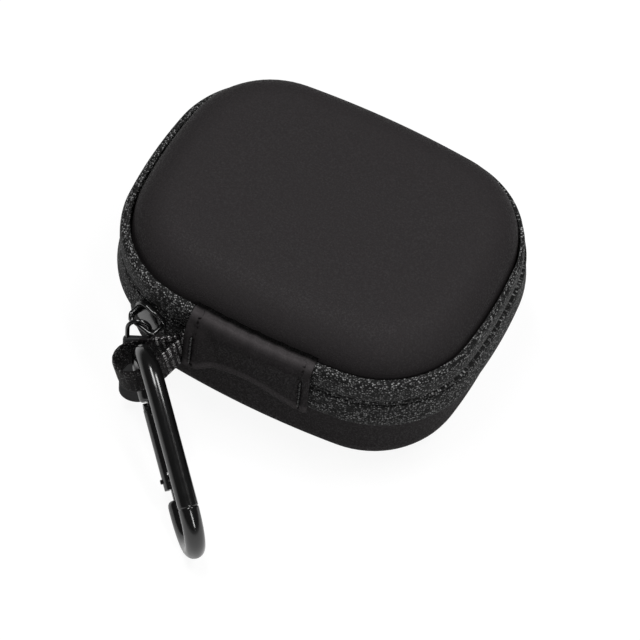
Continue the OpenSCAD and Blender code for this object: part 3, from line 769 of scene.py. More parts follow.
def half_shell(is_lid, outer, inner):
    """One layer of a half shell, closed, from the outer face's middle over the rim to the inner's."""
    s = sheet("shell")
    rim = s.zip_line + (s.rim_gap if is_lid else -s.rim_gap)
    depth = s.height - rim if is_lid else rim
    edge = s.top_edge if is_lid else s.base_edge
    sign = 1 if is_lid else -1
    stations = outline(False)

    def face(inset):
        radius, top = edge - inset, depth - inset
        side = top - radius
        rings = [(inset, 0.0), (inset + s.draft / 2, side / 2)]
        for k in range(13):
            a = math.pi / 2 * k / 12
            rings.append((inset + s.draft + radius * (1 - math.cos(a)), side + radius * math.sin(a)))
        rows = []
        for reach, z in rings:
            # The crown stays inside the height, so the flat's edge sits lower
            level = z - s.crown * max(0.0, (z - side) / radius) ** 2
            rows.append([st.at(-reach, rim + sign * level) for st in stations])
        last = rows[-1]
        for share in (0.88, 0.72, 0.52, 0.3, 0.1):
            z = rim + sign * (top - s.crown * share * share)
            rows.append([Vector((p.x * share, p.y * share, z)) for p in last])
        return rows

    return loft(face(outer)[::-1] + face(inner))


class CASE_OT_shells(bpy.types.Operator):
    """Builds the skin, foam and lining of both half shells"""
    bl_idname = "case.shells"
    bl_label = "Half shells"

    def execute(self, context):
        s = sheet("shell")
        layers = (("skin", 0.0, s.skin, skin_finish, "skin"),
                  ("foam_shell", s.skin, s.skin + s.foam, foam_finish, "foam"),
                  ("lining", s.skin + s.foam, s.skin + s.foam + s.lining, lining_finish, "lining"))
        for half, body in (("upper", "lid"), ("lower", "base")):
            for layer, outer, inner, maker, slot in layers:
                finish(f"{half}_{layer}_piece", half_shell(half == "upper", outer, inner),
                       material(maker), body, [f"{half}_{layer}"], sharp=60)
        return {"FINISHED"}


class CASE_OT_bindings(bpy.types.Operator):
    """Builds the folded binding on the cut rim of each shell"""
    bl_idname = "case.bindings"
    bl_label = "Bindings"

    def execute(self, context):
        s = sheet("shell")
        inset = (s.skin + s.foam + s.lining + s.draft) / MM
        # (out, height over the rim) in mm, from the inner face over the cut edge and back
        points = profile([(-inset - 0.6, 2.4), (-inset - 0.6, 0.2), (-inset - 0.4, -0.5), (-1.2, -0.6),
                          (-0.85, -0.3), (-1.0, -0.02), (-inset + 0.4, -0.02), (-inset - 0.02, 0.4),
                          (-inset - 0.02, 2.4)])
        for half, body, sign in (("upper", "lid", 1), ("lower", "base", -1)):
            rim = s.zip_line + sign * s.rim_gap
            rows = [[st.at(p.x, rim + sign * p.y) for p in points] for st in outline(False)]
            finish(f"{half}_binding_piece", loft(rows, loop=True), material(binding_finish), body,
                   [f"{half}_binding"], sharp=60)
        return {"FINISHED"}


# Zip band

CORNER_STEPS = 22


def backness(station):
    """How far a station belongs to the back, from 0 to 1. There the upper tape lies closer."""
    return (0.5 + 0.5 * math.cos(station.turn - math.radians(70))) ** 1.5


class CASE_OT_tapes(bpy.types.Operator):
    """Builds the two knitted tapes round three sides of the case"""
    bl_idname = "case.tapes"
    bl_label = "Zip tapes"

    def execute(self, context):
        s, z = sheet("shell"), sheet("zip")
        line, rim, gap = s.zip_line / MM, s.rim_gap / MM, z.tape_gap / MM / 2
        out, thin = z.tape_out / MM, (z.tape_out - z.tape_thick) / MM
        top, low = z.upper_height / MM, z.lower_height / MM
        big, fat = z.upper_bulge / MM, z.lower_bulge / MM
        upper = profile([
            (0, line + rim), (thin, line + rim - 0.5), (thin, line + gap), (out - 0.15, line + gap),
            (out + 0.05, line + gap + 0.35), (out + 0.05, line + gap + 0.8), (out - 0.3, line + gap + 1.15),
            (out - 0.25, line + gap + 1.35), (out + 0.25, line + gap + 1.7), (big, line + rim - 1.2),
            (big, line + top - 2.6), (big - 0.15, line + top - 1.2), (big - 0.6, line + top - 0.4),
            (big - 1.5, line + top), (0.1, line + top - 0.2)])
        lower = profile([
            (0.1, line - low + 0.2), (fat - 1.1, line - low), (fat - 0.1, line - low + 0.4),
            (fat, line - low + 1.2), (fat, line - rim - 1.0), (fat - 0.12, line - rim),
            (fat - 0.35, line - rim + 1.0), (out + 0.22, line - gap - 1.1), (out, line - gap - 0.2),
            (out - 0.3, line - gap), (thin, line - gap), (thin, line - rim + 0.5), (0, line - rim)])
        # Only the outer face above the zip line is tucked in
        over, outside = s.zip_line + 1.2 * MM, thin * MM
        for half, body, points, tuck in (("upper", "lid", upper, z.back_tuck),
                                         ("lower", "base", lower, 0.0)):
            rows = []
            for st in outline(True, CORNER_STEPS):
                back = tuck * backness(st)
                rows.append([st.at(p.x - (back if p.y > over and p.x > outside else 0), p.y)
                             for p in points])
            finish(f"{half}_tape_piece", loft(rows), material(tape_finish), body,
                   [f"{half}_zip_tape"], sharp=50)
        return {"FINISHED"}


class CASE_OT_coils(bpy.types.Operator):
    """Winds the coil of each half of the chain and sets the end stops"""
    bl_idname = "case.coils"
    bl_label = "Zip coils"

    def execute(self, context):
        s, z = sheet("shell"), sheet("zip")
        inner = z.tape_out - z.tape_thick
        half_deep, half_tall, off_line = 0.34 * MM, 0.78 * MM, 1.05 * MM
        stations = outline(True, CORNER_STEPS)
        track = [st.at(inner - 0.62 * MM, 0) for st in stations]
        lengths = [0.0]
        for a, b in zip(track, track[1:]):
            lengths.append(lengths[-1] + (b - a).length)
        per_turn = 10
        points = int(lengths[-1] / z.coil_pitch) * per_turn
        for half, body, sign in (("upper", "lid", 1), ("lower", "base", -1)):
            middle = s.zip_line + sign * (z.tape_gap / 2 + off_line)
            path, k = [], 0
            for i in range(points + 1):
                at = lengths[-1] * i / points
                while k < len(lengths) - 2 and lengths[k + 1] < at:
                    k += 1
                t = (at - lengths[k]) / (lengths[k + 1] - lengths[k])
                out = stations[k].at(1, 0) - stations[k].at(0, 0)
                turn = 2 * math.pi * i / per_turn
                path.append(track[k].lerp(track[k + 1], t) + out * half_deep * math.cos(turn)
                            + Vector((0, 0, middle + half_tall * math.sin(turn))))
            finish(f"{half}_coil_piece", tube(path, z.coil_wire, sides=6), material(coil_finish), body,
                   [f"{half}_zip_coil"], sharp=70)
        stops = bmesh.new()
        for side in (-1, 1):
            st = hinge_station(side * (z.hinge_gap - 1.1 * MM))
            place = Matrix.Translation(st.at(inner - 0.6 * MM, s.zip_line - z.tape_gap / 2 - off_line))
            size = (1.15 * MM, 1.95 * MM, 2.05 * MM)
            join(stops, block(size, 0.35 * MM, 3, place @ spin(st.turn, "Z")))
        finish("end_stops_piece", stops, material(metal_finish), "base", ["zip_end_stops"])
        return {"FINISHED"}


# Hinge side

def rise(t):
    """Goes smoothly from 0 to 1."""
    t = min(1.0, max(0.0, t))
    return t * t * (3 - 2 * t)


def cover_levels(u):
    """Heights of the cover's lower edge and top, and its lift, at u from -1 to 1."""
    s, z, c = sheet("shell"), sheet("zip"), sheet("cover")
    low = s.zip_line - z.lower_height - 0.3 * MM + c.arch * math.cos(math.pi / 2 * u) ** 2
    top = s.zip_line + z.upper_height + c.clear + 0.8 * MM
    return low, top, c.lift * rise((-u - 0.5) / 0.3)


# From the cover's top down to the shoulder, where its lift ends, and from its end in to its seam
SHOULDER = 5.3 * MM
SEAM = 2.0 * MM


def hem(inward):
    """How far the cover stands out at a distance from its end: a turned hem and its stitched groove."""
    ridge = math.exp(-((inward - 0.95 * MM) / (0.6 * MM)) ** 2)
    groove = math.exp(-((inward - SEAM) / (0.3 * MM)) ** 2)
    return (0.26 * ridge - 0.42 * groove) * MM


def hinge_station(x):
    """The station of the hinge side at x."""
    return hinge_arc_station(-math.pi / 2 + math.asin(x / sheet("shell").long_side))


def cover_row(u):
    """The cover's closed section at u from -1 to 1."""
    z, c = sheet("zip"), sheet("cover")
    low, top, up = (v / MM for v in cover_levels(u))
    near = (z.lower_bulge + c.clear) / MM
    far = near + c.thick / MM
    shoulder = top - SHOULDER / MM
    inward = (1 - abs(u)) * c.half_length
    puff = 0.22 * math.cos(math.pi / 2 * u) + hem(inward) / MM
    pucker = 0.16 * math.sin(u * 17.0) * math.cos(u * 5.0)
    top += 0.18 * math.sin(u * 23.0 + 1.0) * math.cos(u * 7.0)
    # (out, height) in mm. The lower edge stands out a little, as a turned edge does
    points = profile([
        (near + up, low + 0.5), (near + up + 0.2, low + 0.1), (far + up - 0.1, low),
        (far + up + 0.25 + puff * 0.3, low + 0.6), (far + up - 0.05 + puff * 0.6, low + 2.0),
        (far + up * 0.85 - 0.15 + puff, (low + shoulder) / 2 + 1.5),
        (far + up * 0.75 + puff * 0.8 + pucker, shoulder),
        (far + 0.1 + puff * 0.5 + pucker, top - 3.3), (far - 0.35, top - 2.1), (far - 1.3, top - 1.1),
        (near - 1.2, top - 0.3), (near - 1.9, top - 0.02), (near - 2.1, top - 0.4),
        # The lip that turns in to the lid's skin
        (-0.5, top - 0.55), (-0.5, top - 0.85), (near - 2.0, top - 0.9), (near - 1.15, top - 1.5),
        (near - 0.35, top - 3.1), (near + up * 0.75, shoulder - 0.4)])
    # The ends close on the middle of the thickness, as a turned edge
    end = min(1.0, inward / (0.9 * MM))
    soft = 0.35 + 0.65 * math.sqrt(1 - (1 - end) ** 2)
    st = hinge_station(u * c.half_length)
    row = []
    for p in points:
        middle = (near + up * (0.75 if p.y > (shoulder - 0.5) * MM else 1.0)) * MM + c.thick / 2
        closed = p.y < (top - 3) * MM
        row.append(st.at(middle + (p.x - middle) * soft if closed else p.x, p.y))
    return row


def bend_over(piece):
    """Bakes the hinge fabric's transform into its mesh."""
    y = -sheet("shell").half_width - 2.3 * MM
    z = sheet("shell").zip_line
    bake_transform(piece)


class CASE_OT_cover(bpy.types.Operator):
    """Builds the hinge cover, its stitches and the inner strip"""
    bl_idname = "case.cover"
    bl_label = "Hinge cover"

    def execute(self, context):
        s, z, c = sheet("shell"), sheet("zip"), sheet("cover")
        steps = 132
        cover = loft([cover_row(2 * i / steps - 1) for i in range(steps + 1)])
        bend_over(finish("hinge_cover_piece", cover, material(cover_finish, c.half_length, SEAM), None,
                         ["hinge_cover"], sharp=50))

        stitches = bmesh.new()
        far = z.lower_bulge + c.clear + c.thick
        stitch, bow, sunk = 1.5 * MM, 0.5 * MM, 0.18 * MM
        for side in (-1, 1):
            x = side * (c.half_length - SEAM)
            low, top, up = cover_levels(x / c.half_length)
            shoulder = top - SHOULDER
            foot = low + 1 * MM
            first, last = low + 1.7 * MM, shoulder - 0.3 * MM - stitch
            for i in range(c.stitches):
                start = first + (last - first) * i / (c.stitches - 1)
                path = []
                for k in range(9):
                    height = start + stitch * (0.14 + 0.72 * k / 8)
                    face = far + up * (1 - 0.25 * max(0.0, height - foot) / (shoulder - foot))
                    out = face - sunk + bow * math.sin(math.pi * k / 8)
                    path.append(hinge_station(x).at(out, height))
                line, radii = round_ends(path, 0.2 * MM, 3)
                join(stitches, tube(line, radii, sides=10, up=Vector((1, 0, 0))))
        bend_over(finish("cover_stitches_piece", stitches, material(thread_finish), None,
                         ["cover_stitches"]))

        half = z.hinge_gap - 2.6 * MM
        low = s.zip_line - s.rim_gap - 2 * MM
        high = s.zip_line + s.rim_gap + 2 * MM
        side = [low + (high - low) * k / 12 for k in range(13)]
        rows = []
        for i in range(17):
            st = hinge_station(half * (2 * i / 16 - 1))
            rows.append([st.at(1.15 * MM, h) for h in side] + [st.at(0.1 * MM, h) for h in side[::-1]])
        bend_over(finish("hinge_strip_piece", loft(rows), material(lining_finish), None,
                         ["hinge_strip"]))
        return {"FINISHED"}


# Slider and pull

def slider_outline_points():
    """Outline of the front plate: a round leading end and a tapered tail, as (along, up)."""
    s = sheet("slider")
    r, half = s.height / 2, s.length / 2
    centre = -half + r * 0.9
    taper = 1.7 * MM
    head = [(centre + r * math.cos(a), r * math.sin(a))
            for a in (math.pi * (0.5 + i / 20) for i in range(21))]
    tail = [(half * 0.3, -r + taper * 0.25), (half - 0.5 * MM, -r + taper), (half, -r + taper + 0.5 * MM)]
    return head + tail + [(x, -y) for x, y in tail[::-1]]


def curve_to_corner(bm, radius):
    """Wraps a flat plate, X outward and Y along, round the corner's radius."""
    for v in bm.verts:
        turn = v.co.y / radius
        reach = v.co.x
        v.co.x, v.co.y = reach * math.cos(turn), reach * math.sin(turn)


def across(y, x):
    """A point of the bridge's own plane: along the slider and out from its face."""
    return Vector((x, y, 0))


class CASE_OT_slider(bpy.types.Operator):
    """Builds the slider's body and its bridge"""
    bl_idname = "case.slider"
    bl_label = "Zip slider"

    def execute(self, context):
        s, z = sheet("slider"), sheet("zip")
        face = slider_face()
        back_out = sheet("shell").corner + z.tape_out - z.tape_thick - 1.2 * MM - s.clear
        long, low, high = 3.9 * MM, 0.5 * MM - s.height / 2, 0.15 * MM
        front = plate(slider_outline_points(), face - s.plate, face + 0.35 * MM, 0.42 * MM, 4)
        back = plate([(-long, low), (long, low), (long, high), (-long, high)], back_out - s.plate, back_out,
                     0.25 * MM)
        # plate() is flat in X and Y, so its X, Y and Z are turned to along, up and outward
        upright = Matrix(((0, 0, 1, 0), (1, 0, 0, 0), (0, 1, 0, 0), (0, 0, 0, 1)))
        for bm, radius, drop in ((front, face, s.drop), (back, back_out, 0.0)):
            bmesh.ops.transform(bm, matrix=Matrix.Translation((0, 0, -drop)) @ upright, verts=bm.verts)
            spans = [e for e in bm.edges if abs(e.verts[0].co.y - e.verts[1].co.y) > 2 * MM]
            bmesh.ops.subdivide_edges(bm, edges=spans, cuts=6)
            curve_to_corner(bm, radius)
        deep = face - back_out
        place = Matrix.Translation((back_out - s.plate / 2 + deep / 2, -s.length / 2 + 1.7 * MM, 0))
        post = block((deep, 2.2 * MM, 0.4 * MM), 0.08 * MM, 2, place)
        finish("slider_body_piece", join(front, back, post), material(metal_finish), "slider",
               ["slider_body"], slider_place(), sharp=35)

        bend, feet = 1.2 * MM, (-0.4, 0.2, 0.8, 1.4)
        straight, top = s.bridge_half - bend, s.bridge_out - bend
        path = [across(-s.bridge_half, x * MM) for x in feet]
        path += turn_path((-straight, top), bend, math.pi, math.pi / 2, 8, across)
        path += [across(-straight + 2 * straight * k / 6, s.bridge_out) for k in range(1, 6)]
        path += turn_path((straight, top), bend, math.pi / 2, 0, 8, across)
        path += [across(s.bridge_half, x * MM) for x in feet[::-1]]
        # The bridge is flat and wide at its first foot and round from the bar on
        rows = []
        for i, p in enumerate(path):
            ahead = (path[min(i + 1, len(path) - 1)] - path[max(i - 1, 0)]).normalized()
            side = Vector((ahead.y, -ahead.x, 0))
            wide = s.bar + (s.foot / 2 - s.bar) * (1 - rise((i - 6) / 6))
            power = 0.5 if wide > s.bar * 1.05 else 1.0
            ring = []
            for k in range(20):
                a = 2 * math.pi * k / 20
                ca, sa = math.cos(a), math.sin(a)
                ring.append(p + side * s.bar * math.copysign(abs(ca) ** power, ca)
                            + Vector((0, 0, wide * math.copysign(abs(sa) ** power, sa))))
            rows.append(ring)
        place = slider_place() @ Matrix.Translation((face, 0, -s.drop))
        finish("slider_bridge_piece", loft(rows), material(metal_finish), "slider", ["slider_bridge"],
               place, sharp=50)
        return {"FINISHED"}


class CASE_OT_pull(bpy.types.Operator):
    """Builds the pull's wire loop and its moulded tab"""
    bl_idname = "case.pull"
    bl_label = "Pull"

    def execute(self, context):
        s, p = sheet("slider"), sheet("pull")
        drop = p.loop - p.wire - s.bar - 0.35 * MM
        low = -drop - p.leg
        held = 1.5 * MM
        legs = [low - held + (p.leg + held) * k / 6 for k in range(6)]
        path = [flat(p.loop, y) for y in legs]
        path += turn_path((0, -drop), p.loop, 0, math.pi, 28)
        path += [flat(-p.loop, y) for y in legs[::-1]]
        finish("pull_loop_piece", tube(path, p.wire, sides=18), material(metal_finish), "pull",
               ["pull_loop"], pull_place())
        neck = p.loop + p.wire + 0.5 * MM
        half = p.tab_width / 2
        end = low - p.tab_length + half
        right = [(neck - 0.8 * MM, low), (neck - 0.2 * MM, low - 0.25 * MM), (neck, low - 0.9 * MM),
                 (neck, low - 4.2 * MM), (neck + 0.1 * MM, low - 5.0 * MM),
                 (half - 0.15 * MM, low - 6.8 * MM), (half, low - 7.6 * MM)]
        points = [(-x, y) for x, y in right]
        points += [(half * math.cos(a), end + half * math.sin(a))
                   for a in (math.pi * (1 + k / 24) for k in range(25))]
        points += right[::-1]
        tab = plate(points, -p.tab_thick / 2, p.tab_thick / 2, 0.62 * MM, 5)
        finish("pull_tab_piece", tab, material(tab_finish), "pull", ["pull_tab"],
               pull_place(), sharp=50)
        return {"FINISHED"}


# Webbing loop

WEB_STEP = 0.26 * MM


def even(path, step):
    """The path again, with its points a step apart."""
    made, left = [path[0]], step
    for a, b in zip(path, path[1:]):
        span = (b - a).length
        at = left
        while at < span:
            made.append(a.lerp(b, at / span))
            at += step
        left = at - span
    return made + [path[-1]]


def cross_row(path, i, at, thick):
    """Cross-section of the webbing at a point of its path, thicker on a rib than between two."""
    w, up = sheet("webbing"), Vector((0, 0, 1))
    near, far = path[max(i - 1, 0)], path[min(i + 1, len(path) - 1)]
    face = (far - near).normalized().cross(up).normalized()
    swell = 1.0 - 0.16 * (0.5 + 0.5 * math.cos(2 * math.pi * at / w.rib))
    row = []
    for k in range(28):
        a = 2 * math.pi * k / 28
        ca, sa = math.cos(a), math.sin(a)
        row.append(path[i] + face * thick / 2 * swell * math.copysign(abs(ca) ** 0.45, ca)
                   + up * w.width / 2 * math.copysign(abs(sa) ** 0.3, sa))
    return row


class CASE_OT_webbing(bpy.types.Operator):
    """Builds the ribbed webbing from under the cover round the hook"""
    bl_idname = "case.webbing"
    bl_label = "Webbing loop"

    def execute(self, context):
        w, z = sheet("webbing"), sheet("zip")
        r = w.gap / 2 + w.thick / 2
        lean = math.asin((r - w.thick / 2) / w.near)
        right = math.pi / 2
        path = [flat(0.1 * MM, -w.thick / 2)]
        path += turn_path((w.near, w.shift), r, -right - lean, -right, 6)
        path += turn_path((w.far, w.shift), r, -right, right, 24)
        path += turn_path((w.near, w.shift), r, right, right + lean, 6)
        path += [flat(0.1 * MM, w.thick / 2)]
        path = even(path, WEB_STEP)
        lengths = [0.0]
        for a, b in zip(path, path[1:]):
            lengths.append(lengths[-1] + (b - a).length)
        place = loop_place()
        loop = loft([[place @ p for p in cross_row(path, i, at, w.thick)]
                     for i, at in enumerate(lengths)])
        # The tail: both layers pressed together under the cover
        steps = 17
        out = z.lower_bulge + 0.15 * MM + w.thick
        line = [hinge_station(-12.6 * MM - w.tail * k / steps).at(out, ROOT.z) for k in range(steps + 1)]
        tail = loft([cross_row(line, i, i * WEB_STEP, 2 * w.thick) for i in range(steps + 1)])
        finish("webbing_loop_piece", join(loop, tail), material(webbing_finish, lengths[-1] / 2), "base",
               ["webbing_loop"], sharp=60)
        return {"FINISHED"}


# Snap hook

def ease(s):
    """How far the rod leans in near the top bend, s along it from where the bend's arc starts."""
    before, after, lean = 6.4 * MM, 11.0 * MM, 0.061
    start = lean * before / 2
    if s < 0:
        return start * max(0.0, 1 + s / before) ** 2
    t = min(1.0, s / after)
    return start * (2 * t ** 3 - 3 * t * t + 1) + lean * after * (t ** 3 - 2 * t * t + t)


def rod_line():
    """The points and radii of the hook's rod, from its nose round the lower bend to the lug."""
    h = sheet("hook")
    r, bend = h.rod / 2, (h.width - h.rod) / 2
    apart = h.length - h.width
    nose = h.gate_end + h.nose_gap
    right = math.pi / 2
    # The nose is turned down a little and its edge is broken
    ends = ((0.0, 0.62), (0.25, 0.8), (0.7, 0.93), (1.3, 0.99), (2.0, 1.0))
    line = [(flat(nose + x * MM, bend), r * k) for x, k in ends]
    # A fine ring mark where the lower bend begins
    mark, mark_end = 0.05, 0.12
    line += [(p, r) for p in turn_path((apart, 0), bend, right, mark_end - right, 46)]
    for k in range(1, 15):
        turn = mark_end * (1 - k / 14)
        groove = math.exp(-((turn - mark) * bend / (0.13 * MM)) ** 2)
        point = flat(apart + bend * math.sin(turn), -bend * math.cos(turn))
        line.append((point, r - 0.17 * MM * groove))
    x = apart - 0.6 * MM
    while x > 0.3 * MM:
        line.append((flat(x, -bend + ease(-x)), r))
        x -= 0.6 * MM
    for p in turn_path((0, 0), bend, -right, -3 * right, 48):
        turned = (-right - math.atan2(p.y, p.x)) % (2 * math.pi)
        line.append((p * (1 - ease(bend * turned) / bend), r))
    line += [(flat(0.35 * MM, bend), r * 0.93), (flat(0.6 * MM, bend), r * 0.8)]
    return [p for p, k in line], [k for p, k in line]


class CASE_OT_hook(bpy.types.Operator):
    """Builds the hook's bent rod, its lug and its catch"""
    bl_idname = "case.hook"
    bl_label = "Hook body"

    def execute(self, context):
        h = sheet("hook")
        bend = (h.width - h.rod) / 2
        nose = h.gate_end + h.nose_gap
        path, radii = rod_line()
        # The lug goes over the gate's pivot
        ear = 1.45 * MM
        lug = [(0.2 * MM, bend - ear)]
        lug += [(h.pivot + ear * math.cos(a), bend + ear * math.sin(a))
                for a in (math.pi * (-0.5 + k / 16) for k in range(17))]
        lug += [(0.2 * MM, bend + ear)]
        # The catch: a tongue out of the nose, with a notch for the latch pin
        c, t = h.gate_end - 2.2 * MM, 1.2 * MM
        notch = [(c + 0.7 * MM, bend - t), (c + 0.7 * MM, bend), (c + 0.5 * MM, bend + 0.5 * MM),
                 (c, bend + 0.7 * MM), (c - 0.5 * MM, bend + 0.5 * MM), (c - 0.7 * MM, bend),
                 (c - 0.7 * MM, bend - t)]
        tongue = [(nose + 1.0 * MM, bend + t), (nose + 1.0 * MM, bend - t)] + notch
        tongue += [(c - 1.3 * MM, bend - t), (c - 1.3 * MM, bend + t)]
        body = join(tube(path, radii, sides=32), plate(lug, -0.7 * MM, 0.7 * MM, 0.12 * MM, 2),
                    plate(tongue, -0.6 * MM, 0.6 * MM, 0.08 * MM, 2))
        finish("hook_body_piece", body, material(metal_finish, "gloss_black_hook"), "hook",
               ["hook_body"], hook_place(), sharp=35)
        return {"FINISHED"}


def merged_copy(name):
    """A CAD node's mesh as one joined mesh."""
    bm = bmesh.new()
    bm.from_mesh(frame["nodes"][name].data)
    bmesh.ops.remove_doubles(bm, verts=bm.verts, dist=2e-6)
    bmesh.ops.dissolve_limit(bm, angle_limit=math.radians(0.5), verts=bm.verts, edges=bm.edges)
    return bm


def soften(piece, width):
    """Breaks the sharp edges of a piece."""
    mod = piece.modifiers.new("Edges", "BEVEL")
    mod.width = width
    mod.segments = 3
    mod.limit_method = "ANGLE"
    mod.angle_limit = math.radians(35)
    mod.harden_normals = False


class CASE_OT_gate(bpy.types.Operator):
    """Builds the gate with its pins, plunger and wound spring"""
    bl_idname = "case.gate"
    bl_label = "Hook gate"

    def execute(self, context):
        h = sheet("hook")
        black, steel = material(metal_finish, "gloss_black_hook"), material(plain_steel_finish)
        for name, body, coat, slot, width in (("hook_gate", "gate", black, "hook_metal", 0.18),
                                              ("latch_pin", "gate", black, "hook_metal", 0.2),
                                              ("gate_pin", "hook", black, "hook_metal", 0.08),
                                              ("gate_plunger", "gate", steel, "steel", 0.08)):
            piece = finish(f"{name}_piece", merged_copy(name), coat, body, [name], sharp=30)
            soften(piece, width * MM)
        bend = (h.width - h.rod) / 2
        start, end = h.pivot + 2.85 * MM, 11.8 * MM
        radius, wire_radius = 0.75 * MM, 0.16 * MM
        per_turn = 14
        steps = 9 * per_turn
        path = []
        for i in range(steps + 1):
            a = 2 * math.pi * i / per_turn
            path.append(Vector((start + (end - start) * i / steps, bend + radius * math.cos(a),
                                radius * math.sin(a))))
        finish("gate_spring_piece", tube(path, wire_radius, sides=8), steel, "gate", ["gate_spring"],
               hook_place())
        return {"FINISHED"}


# Stage

FLOOR_FLAT = 6.0
FLOOR_COVE = 0.7

# Name, first end, last end, width and radiance: two strips overhead and a narrow one at the right,
# as the streaks on the hook show
LAMPS = (("strip_over", (-0.015, -0.275, 0.9), (-0.42, 0.19, 0.9), 0.22, 12),
         ("strip_back", (0.455, 0.10, 0.92), (0.15, 0.37, 0.92), 0.25, 12),
         ("strip_side", (0.44, -0.45, 0.78), (0.77, -0.58, 0.26), 0.09, 17))

# The camera's axes and its place along them, from the fit to the photograph
EYE_RIGHT = Vector((0.8851, 0.4608, 0.0653))
EYE_UP = Vector((-0.4148, 0.7174, 0.5597))
EYE_DISTANCE = 0.885
EYE_SHIFT = (-0.0009, -0.0166)
EYE_TARGET = Vector((0, 0, 0.0292))
EYE_LENS = 215.4


def place_object(name, data, matrix):
    made = bpy.data.objects.new(name, data)
    made.matrix_world = matrix
    bpy.context.scene.collection.objects.link(made)
    return made


def facing(where, right, up, back):
    """The matrix of a lamp or camera at a point, from its three axes."""
    return Matrix.Translation(where) @ Matrix((right, up, back)).transposed().to_4x4()


def strip_lamp(name, first, last, width, radiance):
    """A soft strip between two points, turned to the case. Its power follows from its radiance."""
    first, last = Vector(first), Vector(last)
    middle = (first + last) / 2
    along = (last - first).normalized()
    back = (middle - along * middle.dot(along)).normalized()
    lamp = bpy.data.lights.new(name, "AREA")
    lamp.shape = "RECTANGLE"
    lamp.size, lamp.size_y = (last - first).length, width
    lamp.energy = radiance * math.pi * lamp.size * lamp.size_y
    place_object(name, lamp, facing(middle, along, back.cross(along), back))


def floor_finish():
    """White to the camera, with a faint shadow. A lit table in reflections, and grey to other rays."""
    rgb = tuple(sheet("finish").floor)
    mat = shader("white_floor", rgb, 0.9, specular=0.1)
    mottle = noise(mat, position(mat, (40, 40, 40)), 1.0)
    paint(mat, tones(mat, mottle, rgb, (0.3, 0.99), (0.7, 1.01)))
    rays = node(mat, "ShaderNodeLightPath").outputs
    mirrored = rays["Is Glossy Ray"]
    seen = maths(mat, "MAXIMUM", maths(mat, "MAXIMUM", rays["Is Camera Ray"], mirrored),
                 rays["Is Transmission Ray"])
    # With its distance the floor glows more, and is lit less in reflections
    span = node(mat, "ShaderNodeVectorMath", operation="LENGTH")
    wire(mat, position(mat, (1, 1, 1)), span.inputs[0])
    fade = tones(mat, span.outputs["Value"], WHITE, (0.1, 0), (0.5, 0.75))
    near = maths(mat, "SUBTRACT", 1.0, maths(mat, "MULTIPLY", fade, 1.2))
    lit = maths(mat, "MULTIPLY", mirrored, maths(mat, "MULTIPLY", near, 0.6))
    level = maths(mat, "ADD", 0.9, maths(mat, "MULTIPLY", fade, 0.14))
    glow = node(mat, "ShaderNodeEmission")
    wire(mat, maths(mat, "SUBTRACT", level, maths(mat, "MULTIPLY", mirrored, 0.75)),
         glow.inputs["Strength"])
    shade = node(mat, "ShaderNodeBsdfDiffuse")
    wire(mat, maths(mat, "ADD", lit, 0.13), shade.inputs["Color"])
    both = node(mat, "ShaderNodeAddShader")
    wire(mat, glow.outputs["Emission"], both.inputs[0])
    wire(mat, shade.outputs["BSDF"], both.inputs[1])
    pick = node(mat, "ShaderNodeMixShader")
    wire(mat, seen, pick.inputs["Fac"])
    wire(mat, mat.node_tree.nodes["Principled BSDF"].outputs["BSDF"], pick.inputs[1])
    wire(mat, both.outputs["Shader"], pick.inputs[2])
    wire(mat, pick.outputs["Shader"], mat.node_tree.nodes["Material Output"].inputs["Surface"])
    return mat


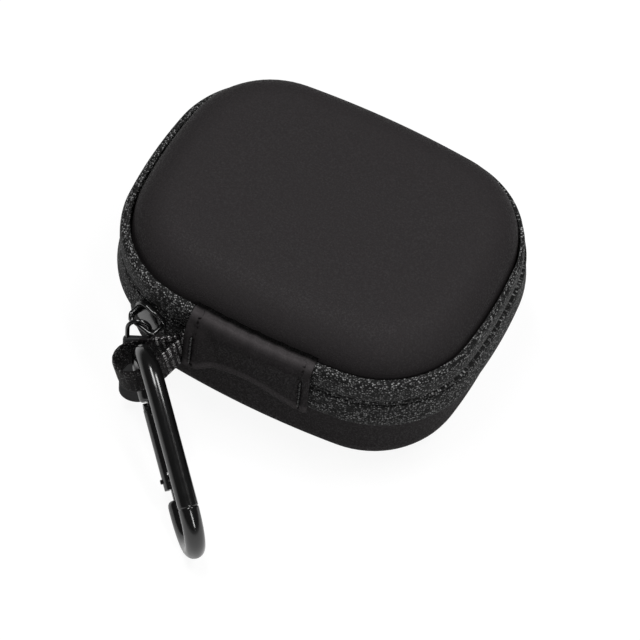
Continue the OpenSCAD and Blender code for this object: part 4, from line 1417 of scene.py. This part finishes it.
class CASE_OT_stage(bpy.types.Operator):
    """Sets the floor, the lamps, the world and the camera"""
    bl_idname = "case.stage"
    bl_label = "Stage"

    def execute(self, context):
        # The floor is a wide, low dish: flat, then rising at its rim
        bm = bmesh.new()
        line = [bm.verts.new((FLOOR_FLAT * k / 4, 0, 0)) for k in range(5)]
        for k in range(1, 9):
            a = math.pi / 2 * k / 8
            line.append(bm.verts.new((FLOOR_FLAT + FLOOR_COVE * math.sin(a), 0,
                                      FLOOR_COVE * (1 - math.cos(a)))))
        edges = [bm.edges.new(pair) for pair in zip(line, line[1:])]
        bmesh.ops.spin(bm, geom=line + edges, axis=(0, 0, 1), cent=(0, 0, 0), steps=64,
                       angle=2 * math.pi, use_merge=True)
        floor = finish("floor", bm, floor_finish())

        world = bpy.data.worlds.new("studio")
        context.scene.world = world
        world.use_nodes = True
        sky = world.node_tree.nodes["Background"]
        sky.inputs["Color"].default_value = (1, 1, 1, 1)
        sky.inputs["Strength"].default_value = 0.08
        for lamp in LAMPS:
            strip_lamp(*lamp)

        camera = bpy.data.cameras.new("camera")
        camera.sensor_width = 36.0
        camera.lens = EYE_LENS
        camera.clip_start, camera.clip_end = 0.05, 20.0
        back = EYE_RIGHT.cross(EYE_UP)
        where = back * EYE_DISTANCE + EYE_RIGHT * EYE_SHIFT[0] + EYE_UP * EYE_SHIFT[1] + EYE_TARGET
        context.scene.camera = place_object("camera", camera, facing(where, EYE_RIGHT, EYE_UP, back))
        context.scene.view_settings.view_transform = "Standard"
        return {"FINISHED"}


class CASE_PT_panel(bpy.types.Panel):
    """Lists the builders and their sizes"""
    bl_idname = "CASE_PT_panel"
    bl_label = "Earbud case"
    bl_space_type = "VIEW_3D"
    bl_region_type = "UI"
    bl_category = "Case"

    def draw(self, context):
        for builder in BUILDERS:
            self.layout.operator(builder.bl_idname)
        for name, (group, label) in SHEETS.items():
            box = self.layout.box()
            box.label(text=label)
            for key in group.__annotations__:
                box.prop(getattr(context.scene, name), key)


BUILDERS = (CASE_OT_shells, CASE_OT_bindings, CASE_OT_tapes, CASE_OT_coils, CASE_OT_cover,
            CASE_OT_slider, CASE_OT_pull, CASE_OT_webbing, CASE_OT_hook, CASE_OT_gate, CASE_OT_stage)


def register():
    for name, (group, _) in SHEETS.items():
        bpy.utils.register_class(group)
        setattr(bpy.types.Scene, name, PointerProperty(type=group))
    for kind in BUILDERS + (CASE_PT_panel,):
        bpy.utils.register_class(kind)


def unregister():
    for kind in (CASE_PT_panel,) + BUILDERS[::-1]:
        bpy.utils.unregister_class(kind)
    for name, (group, _) in SHEETS.items():
        delattr(bpy.types.Scene, name)
        bpy.utils.unregister_class(group)


def main():
    register()
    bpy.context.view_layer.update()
    for builder in BUILDERS:
        group, name = builder.bl_idname.split(".")
        getattr(getattr(bpy.ops, group), name)()


if __name__ == "__main__":
    main()
